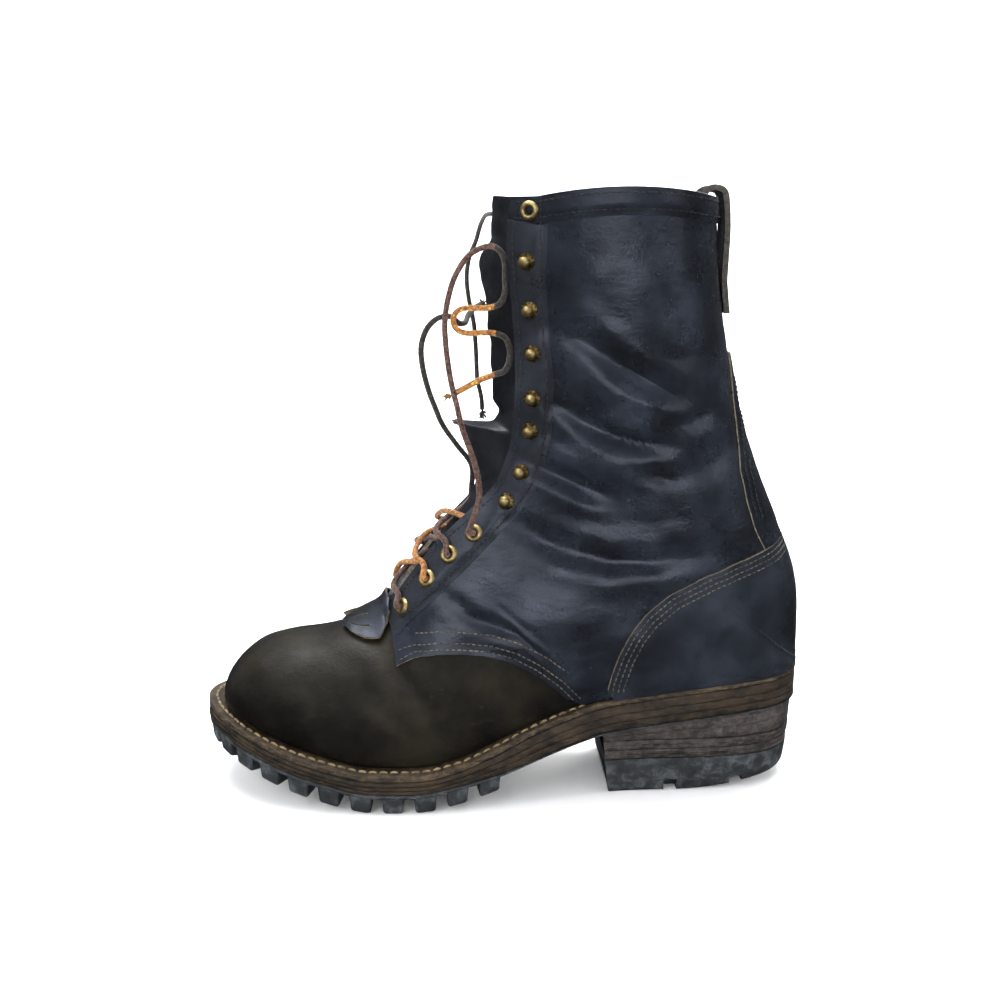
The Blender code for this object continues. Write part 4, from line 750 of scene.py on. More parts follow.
def plate_bottom(x):
    """Underside of the rubber between its lugs, rubbed a little deeper than moulded."""
    return rubber_bottom(x) + LUG_RELIEF * forefoot_share(x)


def plate_top(x):
    """Where the leather ends and the thin rubber plate begins."""
    return plate_bottom(x) + SHANK_PLATE + (PLATE - SHANK_PLATE) * forefoot_share(x)


@functools.lru_cache(maxsize=None)
def sole_loop(steps):
    """Sole edge as a closed loop: toe, lateral side, heel, medial side, with steps points a row."""
    corners = [(length_place(row[0]), row[1] * BALL_WIDTH) for row in SOLE_EDGE]
    corners += [(length_place(row[0]), row[2] * BALL_WIDTH) for row in reversed(SOLE_EDGE[1:-1])]
    count = len(corners)
    loop = []
    for index in range(count):
        around = [corners[(index + shift) % count] for shift in (-1, 0, 1, 2)]
        for step in range(steps):
            share = step / steps
            loop.append(tuple(spline_value(*[point[axis] for point in around], share) for axis in (0, 1)))
    return loop


def inset_loop(loop, inset):
    """The loop moved inwards by a distance that may change along the length."""
    count = len(loop)
    moved = []
    for index, (x, y) in enumerate(loop):
        before = loop[index - 1]
        after = loop[(index + 1) % count]
        run = math.hypot(after[0] - before[0], after[1] - before[1])
        distance = inset(x) if callable(inset) else inset
        out_x = (after[1] - before[1]) / run
        out_y = (after[0] - before[0]) / run
        moved.append((x - out_x * distance, y + out_y * distance))
    return moved


def feather_margin(x):
    """Width of the welt outside the upper."""
    return FOREFOOT_MARGIN + (HEEL_MARGIN - FOREFOOT_MARGIN) * soft_step(length_share(x), 0.45, 0.73)


FEATHER = inset_loop(sole_loop(6), feather_margin)
FEATHER_SIDES = {
    -1: FEATHER[: len(FEATHER) // 2 + 1],
    1: [FEATHER[0]] + list(reversed(FEATHER[len(FEATHER) // 2:])),
}


def feather_side(x, side):
    """Y of the feather edge at X."""
    chain = FEATHER_SIDES[side]
    for (x0, y0), (x1, y1) in zip(chain, chain[1:]):
        if x0 <= x <= x1:
            return y0 + (y1 - y0) * (x - x0) / max(x1 - x0, 1e-9)
    return chain[0][1] if x < chain[0][0] else chain[-1][1]


def front_height(rise):
    """Height of the front line for a front rise."""
    if rise <= 1:
        return rise * INSTEP_HEIGHT
    return INSTEP_HEIGHT + (rise - 1) * (COLLAR_HEIGHT - INSTEP_HEIGHT)


@functools.lru_cache(maxsize=None)
def section_values(row):
    """The section table's columns at a whole or part row."""
    index = min(int(row), len(SECTIONS) - 2)
    rows = [SECTIONS[min(max(index + shift, 0), len(SECTIONS) - 1)] for shift in (-1, 0, 1, 2)]
    return [spline_value(*[line[column] for line in rows], row - index) for column in range(len(rows[0]))]


@functools.lru_cache(maxsize=None)
def section_ends(row):
    """Front and back point of a section in the side view."""
    front, rise, back, back_rise = section_values(row)[:4]
    front_x = length_place(front)
    back_x = length_place(back)
    seat = seat_height(back_x) + FEATHER_GAP
    back_z = seat + max(back_rise, 0.0) * (COLLAR_HEIGHT - seat)
    front_z = max(front_height(rise), seat_height(front_x) + FEATHER_GAP)
    if row == 0:
        front_z = back_z
    return (front_x, front_z), (back_x, back_z)


@functools.lru_cache(maxsize=None)
def section_sides(row, side):
    """Y at the front, the widest place and the back of a half section."""
    lateral, medial = section_values(row)[4:6]
    gap = max(section_values(row)[9], 0.0) if row > CLOSED_ROW else 0.0
    back_x = section_ends(row)[1][0]
    start_y = SOLE_EDGE[0][1] * BALL_WIDTH * max(1 - row / CLOSED_ROW, 0) + side * gap * BALL_WIDTH
    wide_y = (lateral if side < 0 else medial) * BALL_WIDTH
    heel_y = BACK_SHIFT * (LAST_ROW - row) / (LAST_ROW - HEEL_ROW)
    end_y = feather_side(back_x, side) if row < HEEL_ROW else heel_y
    if row == 0:
        start_y = wide_y = end_y = FEATHER[0][1]
    return start_y, wide_y, end_y


def shares_down(row, step):
    """Shares of the way across and down a half section at a step from its front line."""
    widest, front_full, back_full, _, sharp = section_values(row)[6:]
    if step <= FRONT_STEPS:
        turn = step / FRONT_STEPS
        across = math.sin(turn * math.pi / 2) ** (2 / front_full)
        round_down = 1 - max(math.cos(turn * math.pi / 2), 0.0) ** (2 / front_full)
        return across, widest * ((1 - sharp) * round_down + sharp * turn)
    turn = (step - FRONT_STEPS) / BACK_STEPS
    across = max(math.cos(turn * math.pi / 2), 0.0) ** (2 / back_full)
    return across, widest + (1 - widest) * math.sin(turn * math.pi / 2) ** (2 / back_full)


def plain_point(row, side, step):
    """Point of the upper's function, in millimetres."""
    (front_x, front_z), (back_x, back_z) = section_ends(row)
    start_y, wide_y, end_y = section_sides(row, side)
    across, down = shares_down(row, step)
    edge_y = start_y if step <= FRONT_STEPS else end_y
    y = edge_y + (wide_y - edge_y) * across
    return Vector((front_x + (back_x - front_x) * down, y, front_z + (back_z - front_z) * down))


def upper_point(row, side, step):
    """Point of the upper, with the collar's soft rise over the calf."""
    place = plain_point(row, side, step)
    ease = EASED_REACH * (1 - soft_step(abs(row - EASED_ROW), *EASED_RANGE))
    if ease > 1e-4:
        below = plain_point(row - ease, side, step)
        above = plain_point(row + ease, side, step)
        place = (place * 2 + below + above) / 4
    bow = max(1 - ((place.x - CROWN_MIDDLE) / CROWN_REACH) ** 2, 0.0)
    place.z += COLLAR_CROWN * bow * soft_step(row, 20.5, LAST_ROW)
    return place


def upper_normal(row, side, step):
    """Outward direction, level on the feather edge and at the collar."""
    if row < 0.01:
        return Vector((-1, 0, 0))
    near_row = max(row - 0.12, 0.0)
    far_row = min(row + 0.12, LAST_ROW)
    closed_front = step <= 0 and row <= CLOSED_ROW
    closed_back = step >= STEPS and row >= HEEL_ROW
    before = upper_point(row, -side, 0.12) if closed_front else upper_point(row, side, max(step - 0.12, 0))
    if closed_back:
        after = upper_point(row, -side, STEPS - 0.12)
    else:
        after = upper_point(row, side, min(step + 0.12, STEPS))
    normal = (after - before).cross(upper_point(far_row, side, step) - upper_point(near_row, side, step))
    normal *= -side
    if (step >= STEPS and row <= HEEL_ROW) or row >= LAST_ROW:
        normal.z = 0
    if closed_front or closed_back:
        normal.y = 0
    return normal.normalized()


def segment_distance(x, z, start, end):
    """Distance in the side view from a point to a segment, and how far along it is."""
    run_x = end[0] - start[0]
    run_z = end[1] - start[1]
    share = ((x - start[0]) * run_x + (z - start[1]) * run_z) / (run_x * run_x + run_z * run_z)
    share = min(max(share, 0.0), 1.0)
    return math.hypot(x - start[0] - share * run_x, z - start[1] - share * run_z), share


def crease_depth(x, z, side):
    """How far walking has pressed the leather in at a place of the side view."""
    depth = 0.0
    for crease_side, width, deep, points in CREASES:
        if crease_side not in (0, side):
            continue
        width *= CREASE_NARROW
        reach = width * 3.2
        if not (points[0][0] - reach < x < points[-1][0] + reach):
            continue
        best, along = 1e9, 0.0
        for index, (start, end) in enumerate(zip(points, points[1:])):
            distance, share = segment_distance(x, z, start, end)
            if distance < best:
                best, along = distance, (index + share) / (len(points) - 1)
        if best < reach:
            fade = math.sin(min(max(along, 0.02), 0.98) * math.pi) ** 0.5
            trough = math.exp(-((best / width) ** 2))
            shoulder = math.exp(-(((best - 1.75 * width) / width) ** 2))
            depth += CREASE_DEPTH * deep * fade * (trough - 0.4 * shoulder)
    return depth


def leather_relief(place, side):
    """Soft swells and walking creases, outwards in millimetres."""
    swell = noise.noise(place * 0.019 + Vector((3, 7, 1))) * 1.5
    ripple = noise.noise(Vector((place.x * 0.075, place.y * 0.075, place.z * 0.12))) * 0.38
    calm = soft_step(place.z - seat_height(place.x), 2.0, 14.0)
    calm *= 1 - 0.8 * soft_step(place.z, COLLAR_HEIGHT - 22, COLLAR_HEIGHT)
    toe = 1 - 0.75 * soft_step(-place.x, 96, 118)
    return (swell + ripple - crease_depth(place.x, place.z, side)) * calm * toe


@functools.lru_cache(maxsize=None)
def leather_place(row, side, step):
    """Point on the worn leather, its outward direction and its relief."""
    place = upper_point(row, side, step)
    normal = upper_normal(row, side, step)
    relief = leather_relief(place, side)
    return place + normal * relief, normal, relief


def on_leather(row, side, step, lift):
    """Point above the worn leather."""
    place, normal, _ = leather_place(row, side, step)
    return place + normal * lift


def step_at_line(row, outline, lowest=False):
    """Step where a section's side-view line first or last crosses an outline, or None."""
    (front_x, front_z), (back_x, back_z) = section_ends(row)
    run_x = back_x - front_x
    run_z = back_z - front_z
    found = None
    for (along0, up0), (along1, up1) in zip(outline, outline[1:]):
        x0, z0 = length_place(along0), up0 * COLLAR_HEIGHT
        x1, z1 = length_place(along1), up1 * COLLAR_HEIGHT
        cross = run_x * (z1 - z0) - run_z * (x1 - x0)
        if abs(cross) < 1e-9:
            continue
        down = ((x0 - front_x) * (z1 - z0) - (z0 - front_z) * (x1 - x0)) / cross
        share = ((x0 - front_x) * run_z - (z0 - front_z) * run_x) / cross
        if 0 <= share <= 1 and 0 <= down <= 1:
            found = down if found is None or (lowest and down > found) else found
    if found is None:
        return None
    return turning_value(lambda step: shares_down(row, step)[1] < found, 0.0, float(STEPS))


def row_at_height(side, step, height, low=22.0):
    """Row whose point at a step has a height, near the collar."""
    return turning_value(lambda row: plain_point(row, side, step).z < height, low, float(LAST_ROW))


def spread(start, end, count):
    """Even values from start to end."""
    return [start + (end - start) * index / count for index in range(count + 1)]


def leather_patch(name, grid, lifts, finishes, nodes=(), sides=(-1, 1), bevel=0.35, skive=None):
    """Leather piece over the upper.

    grid gives for each row a list of (section row, step) pairs, front to back. lifts are the inner and
    outer heights over the leather. Finishes are its face, its flesh side and its cut edge. skive takes
    a line's and a column's share of the piece and gives how much of its thickness is left there.
    """
    inner_lift, outer_lift = lifts
    index = {}
    outer, inner, wear = [], [], []
    last_line = len(grid) - 1
    last_column = len(grid[0]) - 1

    def corner(line, column, side):
        row, step = grid[line][column]
        joined = (step <= 1e-6 and row <= CLOSED_ROW) or (step >= STEPS - 1e-6 and row >= HEEL_ROW)
        key = (0, 0, 0) if row < 1e-6 else (line, column, 0 if joined else side)
        if key not in index:
            index[key] = len(outer)
            place, normal, relief = leather_place(row, side, step)
            left = skive(line / last_line, column / last_column) if skive else 1.0
            outer.append(place + normal * (inner_lift + (outer_lift - inner_lift) * left))
            inner.append(place + normal * inner_lift)
            at_side = column in (0, 1, last_column - 1, last_column) and not joined
            on_edge = at_side or line in (0, last_line)
            wear.append(relief * (0.35 if relief > 0 else 0.25) + (EDGE_WEAR if on_edge else 0.0))
        return index[key]

    faces = []
    for line in range(last_line):
        for column in range(last_column):
            for side in sides:
                cells = ((line, column), (line, column + 1), (line + 1, column + 1), (line + 1, column))
                face = [corner(*cell, side) for cell in cells]
                if side > 0:
                    face.reverse()
                face = tuple(here for place, here in enumerate(face) if here != face[place - 1])
                if len(set(face)) >= 3:
                    faces.append(face)
    faces, finish = closed_sheet(faces, len(outer))
    wear += [0.0] * len(outer)
    piece = add_piece(name, (outer + inner, faces), finishes, nodes, finish, wear=wear)
    round_edges(piece, "rubbed_edge", bevel, 50).material = 2


def rows_between(start, end, per_row):
    """Section rows from start to end at a fixed spacing."""
    count = max(int(round((end - start) * per_row)), 2)
    return spread(start, end, count)


def step_line(rows, outline, default, lowest=False):
    """Step of an outline at each row, or a default where they don't cross."""
    steps = []
    for row in rows:
        found = step_at_line(row, outline, lowest)
        steps.append(default(row) if found is None else found)
    return steps


def make_vamp_and_quarters():
    """Vamp, and the quarters whose raised edge lies over it."""
    rows = rows_between(0.0, 12.05, 8)
    starts = step_line(rows, QUARTER_EDGE, lambda row: 0.0 if row < 10 else float(STEPS), lowest=True)
    starts = [
        min(max(step - VAMP_UNDERLAP, 0.0), max(row - 9.25, 0.0) * 7) for row, step in zip(rows, starts)
    ]
    grid = [[(row, step) for step in spread(start, STEPS, 44)] for row, start in zip(rows, starts)]
    leather_patch("vamp", grid, (-VAMP_WALL, 0.0), ("vamp", "lining", "edge"))
    rows = rows_between(QUARTER_ROW, 10.4, 14)[:-1] + rows_between(10.4, LAST_ROW, 6.5)
    ends = step_line(rows, QUARTER_EDGE, lambda row: float(STEPS), lowest=True)
    grid = [[(row, step) for step in spread(0.0, end, 64)] for row, end in zip(rows, ends)]
    finishes = ("shaft", "lining", "edge")
    leather_patch("quarters", grid, (-WALL, QUARTER_STEP), finishes, ("upper",), bevel=0.6)


def eyestay_grid():
    """Grid of the facing strip, from the throat's edge to its rear stitch line."""
    rows = rows_between(8.95, LAST_ROW - 0.05, 6.5)
    band = [row_at_height(-1, step, BAND_LINE * COLLAR_HEIGHT) for step in (0.0, 1.5)]
    top = max(band) - 0.02
    rows = [row for row in rows if row < top] + [top]
    ends = step_line(rows, EYESTAY_REAR, lambda row: 0.6)
    return [[(row, step) for step in spread(0.0, end, 16)] for row, end in zip(rows, ends)]


def make_overlays():
    """Facings, counter, backstay and collar band."""
    seat = QUARTER_STEP
    top = seat + OVERLAY
    facing = eyestay_grid()
    for side, label in ((-1, "lateral"), (1, "medial")):
        leather_patch(
            "facing_" + label, facing, (seat, top + SEAM), ("facing", "lining", "facing"),
            ("eyestay_" + label,), (side,),
            skive=lambda line, column: 1 - 0.86 * soft_step(column, 0.68, 1.0),
        )
    kept = [(row, step_at_line(row, COUNTER_TOP)) for row in rows_between(12.14, 20.0, 7)]
    grid = [[(row, step) for step in spread(start, STEPS, 46)] for row, start in kept if start is not None]
    leather_patch("heel_counter", grid, (seat, top + SEAM), ("counter", "lining", "edge"), ("counter",))
    band = BAND_LINE * COLLAR_HEIGHT
    grid = []
    for row in rows_between(17.6, LAST_ROW, 6.5):
        start = step_at_line(row, BACKSTAY_EDGE)
        below_band = upper_point(row, -1, STEPS).z < band
        if start is not None and below_band and start < STEPS - 0.05:
            grid.append([(row, step) for step in spread(start, STEPS, 14)])
    leather_patch(
        "back_strip", grid, (seat, top + 0.1), ("shaft", "lining", "edge"), ("backstay",),
        skive=lambda line, column: 0.45 + 0.55 * soft_step(column, 0.0, 0.3),
    )
    lows = [(row_at_height(-1, step, band), step) for step in spread(0.0, STEPS, 90)]
    grid = [[(low + (LAST_ROW - low) * line / 8, step) for low, step in lows] for line in range(9)]
    leather_patch(
        "collar_strip", grid, (seat, top + 0.2), ("shaft", "lining", "shaft"), ("collar_band",),
        skive=lambda line, column: 0.3 + 0.7 * soft_step(line, 0.0, 0.3),
    )


def thick_sheet(name, rows, thickness, finishes, nodes=(), skip=()):
    """Sheet with a thickness behind a grid of points, left of its rows' way up."""
    count = len(rows)
    columns = len(rows[0])
    front, back = [], []
    for row in range(count):
        for column in range(columns):
            here = rows[row][column]
            along = rows[min(row + 1, count - 1)][column] - rows[max(row - 1, 0)][column]
            across = rows[row][min(column + 1, columns - 1)] - rows[row][max(column - 1, 0)]
            front.append(here)
            back.append(here - along.cross(across).normalized() * thickness)
    faces = []
    for row in range(count - 1):
        for column in range(columns - 1):
            if (row, column) not in skip:
                start = row * columns + column
                faces.append((start, start + columns, start + columns + 1, start + 1))
    keep = {}
    for face in faces:
        for key in face:
            keep.setdefault(key, len(keep))
    faces = [tuple(keep[key] for key in face) for face in faces]
    faces, finish = closed_sheet(faces, len(keep))
    points = [front[key] for key in keep] + [back[key] for key in keep]
    piece = add_piece(name, (points, faces), finishes, nodes, finish)
    round_edges(piece, "rubbed_edge", 0.3, 55)


def throat_forward(row):
    """Direction in the side view that points out of the throat."""
    (x0, z0), _ = section_ends(max(row - 0.5, CLOSED_ROW - 2))
    (x1, z1), _ = section_ends(min(row + 0.5, LAST_ROW))
    return Vector((z0 - z1, 0, x1 - x0)).normalized()


def make_tongue():
    """Bellows tongue that bulges between the facings, with its folded flap."""
    rows = []
    for section in rows_between(9.9, 24.0, 9):
        bulge = steady_curve(TONGUE_BULGE, section)[0]
        steps = spread(0.0, TONGUE_WINGS, 5)
        lateral, medial = [
            [on_leather(section, side, step, -(WALL + TONGUE_GAP)) for step in steps] for side in (-1, 1)
        ]
        start = lateral[0]
        end = medial[0]
        middle = (start + end) / 2
        (edge_x, edge_z), _ = section_ends(section)
        crown = Vector((edge_x, middle.y, edge_z)) + throat_forward(section) * bulge
        arch = []
        for share in spread(0.0, 1.0, 20)[1:-1]:
            place = start.lerp(end, share) + (crown - middle) * math.sin(share * math.pi) ** 1.5
            pucker = noise.noise(Vector((place.x * 0.05, place.y * 0.09, place.z * 0.14))) * 1.1
            arch.append(place + throat_forward(section) * pucker * math.sin(share * math.pi))
        rows.append(list(reversed(lateral)) + arch + medial)
    thick_sheet("bellows_tongue", rows, TONGUE, ("tongue", "lining", "edge"), ("tongue",))


def kiltie_point(row, across, lift):
    """Point above the end of the vamp, or above the throat past its closed end."""
    side = -1 if across < 0 else 1
    if row <= CLOSED_ROW:
        left = abs(across)
        step = 0.0
        here = upper_point(row, side, 0.0)
        while step < STEPS:
            following = upper_point(row, side, step + 0.1)
            run = (following - here).length
            if run >= left:
                return on_leather(row, side, step + 0.1 * left / run, lift)
            left -= run
            here = following
            step += 0.1
    (x, z), _ = section_ends(row)
    return Vector((x, across, z)) + throat_forward(row) * (lift - across * across / (2 * KILTIE_ROUND))


def make_kiltie():
    """Fringed false tongue, its front cut in curling strips."""
    pitch = 2 / (KILTIE_STRIPS - KILTIE_SLOT)
    shares, strips = [], []
    for strip in range(KILTIE_STRIPS):
        start = -1 + strip * pitch
        shares += spread(start, start + pitch * (1 - KILTIE_SLOT), 5)
        strips += [strip] * 6
    sections = rows_between(KILTIE_ROWS[0][0], KILTIE_ROWS[-1][0], 12)
    cut = KILTIE_ROWS[3][0]
    rows, slots = [], set()
    for line, section in enumerate(sections):
        half, lift = steady_curve(KILTIE_ROWS, section)
        row = []
        for column, share in enumerate(shares):
            free = soft_step(KILTIE_ROWS[2][0] - section, 0.0, 0.7)
            curl = KILTIE_CURL * math.sin(2.4 * strips[column] + 0.6) * free * 1.4
            rise = lift * (1 - KILTIE_DROOP * share ** 2) + curl
            row.append(kiltie_point(section, share * half, KILTIE + rise))
            last_of_strip = column + 1 < len(shares) and strips[column] != strips[column + 1]
            if last_of_strip and section < cut:
                slots.add((line, column))
        rows.append(row)
    thick_sheet("fringed_kiltie", rows, KILTIE, ("facing", "edge", "edge"), ("kiltie",), slots)


def dense_route(route, spacing):
    """Points every spacing millimetres on a smooth curve through a route."""
    points = [Vector(point) for point in route]
    padded = [points[0] * 2 - points[1]] + points + [points[-1] * 2 - points[-2]]
    dense = []
    for index in range(1, len(padded) - 2):
        around = padded[index - 1: index + 3]
        for step in range(12):
            dense.append(Vector([spline_value(*[p[axis] for p in around], step / 12) for axis in range(3)]))
    dense.append(points[-1])
    total = sum((b - a).length for a, b in zip(dense, dense[1:]))
    count = max(int(round(total / spacing)), 2)
    picked = [dense[0]]
    walked = 0.0
    for start, end in zip(dense, dense[1:]):
        run = (end - start).length
        while len(picked) < count and walked + run >= total * len(picked) / count:
            picked.append(start.lerp(end, (total * len(picked) / count - walked) / run))
        walked += run
    picked.append(dense[-1])
    return picked


def section_frames(path):
    """Turn-free pairs of side directions along a path."""
    tangents = []
    for index in range(len(path)):
        tangent = path[min(index + 1, len(path) - 1)] - path[max(index - 1, 0)]
        tangents.append(tangent.normalized())
    side = tangents[0].orthogonal().normalized()
    frames = []
    for tangent in tangents:
        side = (side - tangent * side.dot(tangent)).normalized()
        frames.append((side, tangent.cross(side)))
    return frames


def braided_tube(path, diameter, around=16, plait=0.07, pitch=5.0):
    """Round cord whose surface rises and falls with its plaits."""
    frames = section_frames(path)
    points = []
    walked = 0.0
    for index, place in enumerate(path):
        if index:
            walked += (place - path[index - 1]).length
        first, second = frames[index]
        turned = walked * math.tau / pitch
        for corner in range(around):
            angle = corner / around * math.tau
            weave = math.sin(4 * angle + turned) * math.sin(4 * angle - turned)
            radius = diameter / 2 * (1 - plait + plait * weave)
            points.append(place + (first * math.cos(angle) + second * math.sin(angle)) * radius)
    faces = ring_quads(len(path), around)
    faces.append(tuple(reversed(range(around))))
    faces.append(tuple(range((len(path) - 1) * around, len(path) * around)))
    return points, faces


def inset_step(row, side, inset):
    """Step of a section at a distance from the throat's edge."""
    step = 0.0
    here = upper_point(row, side, 0.0)
    while inset > 0:
        step += 0.02
        following = upper_point(row, side, step)
        inset -= (following - here).length
        here = following
    return step


def hardware_frame(side, row, inset=EDGE_INSET):
    """Place and outward direction on the facing, set in from the throat's edge."""
    step = inset_step(row, side, inset)
    return on_leather(row, side, step, QUARTER_STEP + SEAM + OVERLAY), upper_normal(row, side, step)


def plain_eyelet(side, number, out):
    """Place on an eyelet's axis in the solids' frame."""
    row = EYELET_SECTIONS[number - 1]
    step = inset_step(row, side, EDGE_INSET)
    outside = QUARTER_STEP + SEAM + OVERLAY + HARDWARE_SEAT
    return upper_point(row, side, step) + upper_normal(row, side, step) * (outside + out)


def crossing_route(first_side):
    """Lace from the lowest eyelets up to the fourth: out of one, over the throat, and in under the next."""
    rows = EYELET_SECTIONS[:4]
    route = []
    side = first_side
    for number, row in enumerate(rows):
        (x, z), _ = section_ends(row)
        gap = max(section_values(row)[9] * BALL_WIDTH, 6.0)
        edge = Vector((x, side * gap, z))
        forward = throat_forward(row)
        if number:
            route.append(edge - forward * 3.2 + Vector((0, side * 1.5, 0)))
        route += [plain_eyelet(side, number + 1, out) for out in (-7.5, -1.0, 2.4)]
        if number == len(rows) - 1:
            break
        between = (row + rows[number + 1]) / 2
        halfway = hardware_frame(side, row + 0.08, EDGE_INSET * 0.45)
        route.append(halfway[0] + halfway[1] * 2.4)
        route.append(edge + forward * LACE_EDGE_LIFT - Vector((0, side, 0)))
        (x, z), _ = section_ends(between)
        lift = max(steady_curve(TONGUE_BULGE, between)[0] + LACE_CLEAR, LACE_LOWEST)
        if first_side > 0:
            lift += LACE_OVER * 2.6
        route.append(Vector((x, 0, z)) + throat_forward(between) * lift)
        side = -side
    return route


def frayed_end(place, direction, length, count, seed):
    """Tuft of loose plait at a lace's end."""
    chance = random.Random(seed)
    strands = []
    direction = direction.normalized()
    for _ in range(count):
        sway = Vector([chance.uniform(-1, 1) for _ in range(3)]) * 0.75
        reach = length * chance.uniform(0.6, 1.0)
        middle = place + direction * reach * 0.5 + sway * reach * 0.3
        tip = place + direction * reach * 0.85 + sway * reach * 0.85
        path = dense_route([place - direction * 1.5, place, middle, tip], 0.8)
        strands.append(braided_tube(path, 0.75, 6, 0.0))
    return join(strands)


def make_laces():
    """Crossings through the lower eyelets, and the free tails as cords."""
    for name, side, finish in (
        ("lace_crossing_under", -1, "brown_cord"), ("lace_crossing_over", 1, "orange_cord"),
    ):
        shape = braided_tube(dense_route(crossing_route(side), LACE_SPACING), LACE)
        add_piece(name, shape, (finish,), ("lace_crossings",) if side < 0 else (), smooth=60)
    top = len(EYELET_SECTIONS)
    for name, node, side, number, route, diameter in (
        ("lateral_lace_tail", "lace_tail_lateral", -1, 4, LATERAL_TAIL, LACE),
        ("medial_lace_tail", "lace_tail_medial", 1, 4, MEDIAL_TAIL, LACE),
        ("medial_lace_strand", "lace_strand_medial", 1, top, MEDIAL_STRAND, THIN_LACE),
    ):
        start = [plain_eyelet(side, number, out) for out in (-3.0, 3.5, 6.5)]
        path = dense_route(start + route, LACE_SPACING)
        points, faces = braided_tube(path, diameter, 12 if diameter < LACE else 16)
        count = len(faces)
        finishes = ("brown_cord", "orange_cord", "dark_and_shaded_cord") if side < 0 else ("dark_and_shaded_cord",) * 2
        finish = [0] * count
        for index, face in enumerate(faces):
            place = points[face[0]]
            # Faces of the lateral tail past BEHIND_FACING and above TAIL_START take the darker cord:
            # painted shade where the tail turns behind the facing
            if side < 0 and place.x > BEHIND_FACING and place.z > TAIL_START:
                finish[index] = 2
            elif index >= count * (ORANGE_FROM if side < 0 else 1.0):
                finish[index] = 1
        piece = add_piece(name, (points, faces), finishes, (node,), finish, smooth=60)
        end = frayed_end(path[-1], path[-1] - path[-4], TUFT_LENGTH, TUFT_STRANDS, count - 1 + side)
        tuft = add_piece(name + "_tuft", end, (finishes[1],), smooth=80)


def ring_loft(rings, closed=True):
    """Points and faces through rings of one point count, listed from the top down."""
    count = len(rings[0])
    points = [Vector(point) for ring in rings for point in ring]
    if not closed:
        total = len(points)
        faces = ring_quads(len(rings) + 1, count, inwards=True)
        return points, [tuple(index % total for index in face) for face in faces]
    faces = ring_quads(len(rings), count, inwards=True)
    half = count // 2
    for start, upwards in ((0, True), ((len(rings) - 1) * count, False)):
        strip = [(start, start + 1, start + count - 1)]
        for index in range(1, half - 1):
            low = start + index
            high = start + count - index
            strip.append((low, low + 1, high - 1, high))
        strip.append((start + half - 1, start + half, start + half + 1))
        faces += strip if upwards else [tuple(reversed(face)) for face in strip]
    return points, faces


def edge_ring(loop, inset, height, wobble=0.0, seed=0):
    """Ring at an inset and a height over the length, with a hand-trimmed wobble."""
    ring = []
    for x, y in inset_loop(loop, inset):
        shake = noise.noise(Vector((x * 0.09, y * 0.09, seed * 5.3))) * wobble
        out = Vector((x, y)).normalized() * shake
        ring.append((x - out.x, y - out.y, height(x) if callable(height) else height))
    return ring


def make_sole():
    """Welt and midsole with trimmed edges."""
    loop = sole_loop(8)

    def above(base, over):
        return lambda x: base(x) + over

    rings = [
        edge_ring(loop, WELT_RING, seat_height),
        edge_ring(loop, 1.0, seat_height),
        edge_ring(loop, 0.35, above(seat_height, -0.2), 0.3, 1),
        edge_ring(loop, 0.05, above(seat_height, -0.8), 0.4, 2),
        edge_ring(loop, 0.10, above(midsole_top, 0.9), 0.4, 2),
        edge_ring(loop, 0.55, above(midsole_top, 0.25), 0.3, 3),
        edge_ring(loop, 1.4, above(midsole_top, 0.1)),
        edge_ring(loop, WELT_RING, above(midsole_top, 0.1)),
    ]
    add_piece("stitched_welt", ring_loft(rings, closed=False), ("welt",), ("welt",), smooth=50)

    def between(share):
        return lambda x: midsole_top(x) + (plate_top(x) + 0.1 - midsole_top(x)) * share

    rings = [edge_ring(loop, 1.2, between(0.0)), edge_ring(loop, 0.5, above(midsole_top, -0.15), 0.3, 4)]
    for number, share in enumerate((0.08, 0.33, 0.37, 0.41, 0.64, 0.68, 0.72, 0.92)):
        inset = 0.8 if share in (0.37, 0.68) else 0.12
        rings.append(edge_ring(loop, inset, between(share), 0.45, 5 + number // 3))
    rings += [edge_ring(loop, 0.6, between(0.97), 0.3, 8), edge_ring(loop, 1.4, between(1.0))]
    add_piece("leather_midsole", ring_loft(rings), ("sole",), ("midsole",), smooth=50)


def walk(loop, distance):
    """Point at a distance along a closed loop, backwards when negative."""
    chain = loop if distance >= 0 else [loop[0]] + list(reversed(loop[1:]))
    left = abs(distance)
    for index, start in enumerate(chain):
        end = chain[(index + 1) % len(chain)]
        run = math.hypot(end[0] - start[0], end[1] - start[1])
        if left <= run:
            share = left / run
            return Vector((start[0] + (end[0] - start[0]) * share, start[1] + (end[1] - start[1]) * share))
        left -= run
    return Vector(chain[0])


def lug_block(top, bottom):
    """Lug from just inside the rubber down to its tread face."""
    points = [Vector((p[0], p[1], plate_bottom(p[0]) + 0.9)) for p in top]
    points += [Vector((p[0], p[1], rubber_bottom(p[0]) - LUG_HEIGHT)) for p in bottom]
    faces = [(0, 1, 2, 3), (7, 6, 5, 4)]
    faces += [(index, index + 4, (index + 1) % 4 + 4, (index + 1) % 4) for index in range(4)]
    area = sum(top[i - 1][0] * top[i][1] - top[i][0] * top[i - 1][1] for i in range(4))
    if area < 0:
        faces = [tuple(reversed(face)) for face in faces]
    return points, faces


def edge_lug(edge, middle):
    """Lug on the sole's edge around a distance from the toe, or None past the forefoot."""
    half = LUG_WIDTH / 2
    start = walk(edge, middle - half)
    end = walk(edge, middle + half)
    if max(start.x, end.x) > length_place(LUG_END):
        return None
    run = end - start
    inwards = Vector((-run.y, run.x)).normalized()
    narrower = run * LUG_NARROWING
    top = [start, end, end + inwards * LUG_DEPTH - narrower, start + inwards * LUG_DEPTH + narrower]
    centre = sum(top, Vector((0, 0))) / len(top)
    bottom = [corner + (centre - corner).normalized() * LUG_LEAN for corner in top]
    return lug_block(top, bottom)


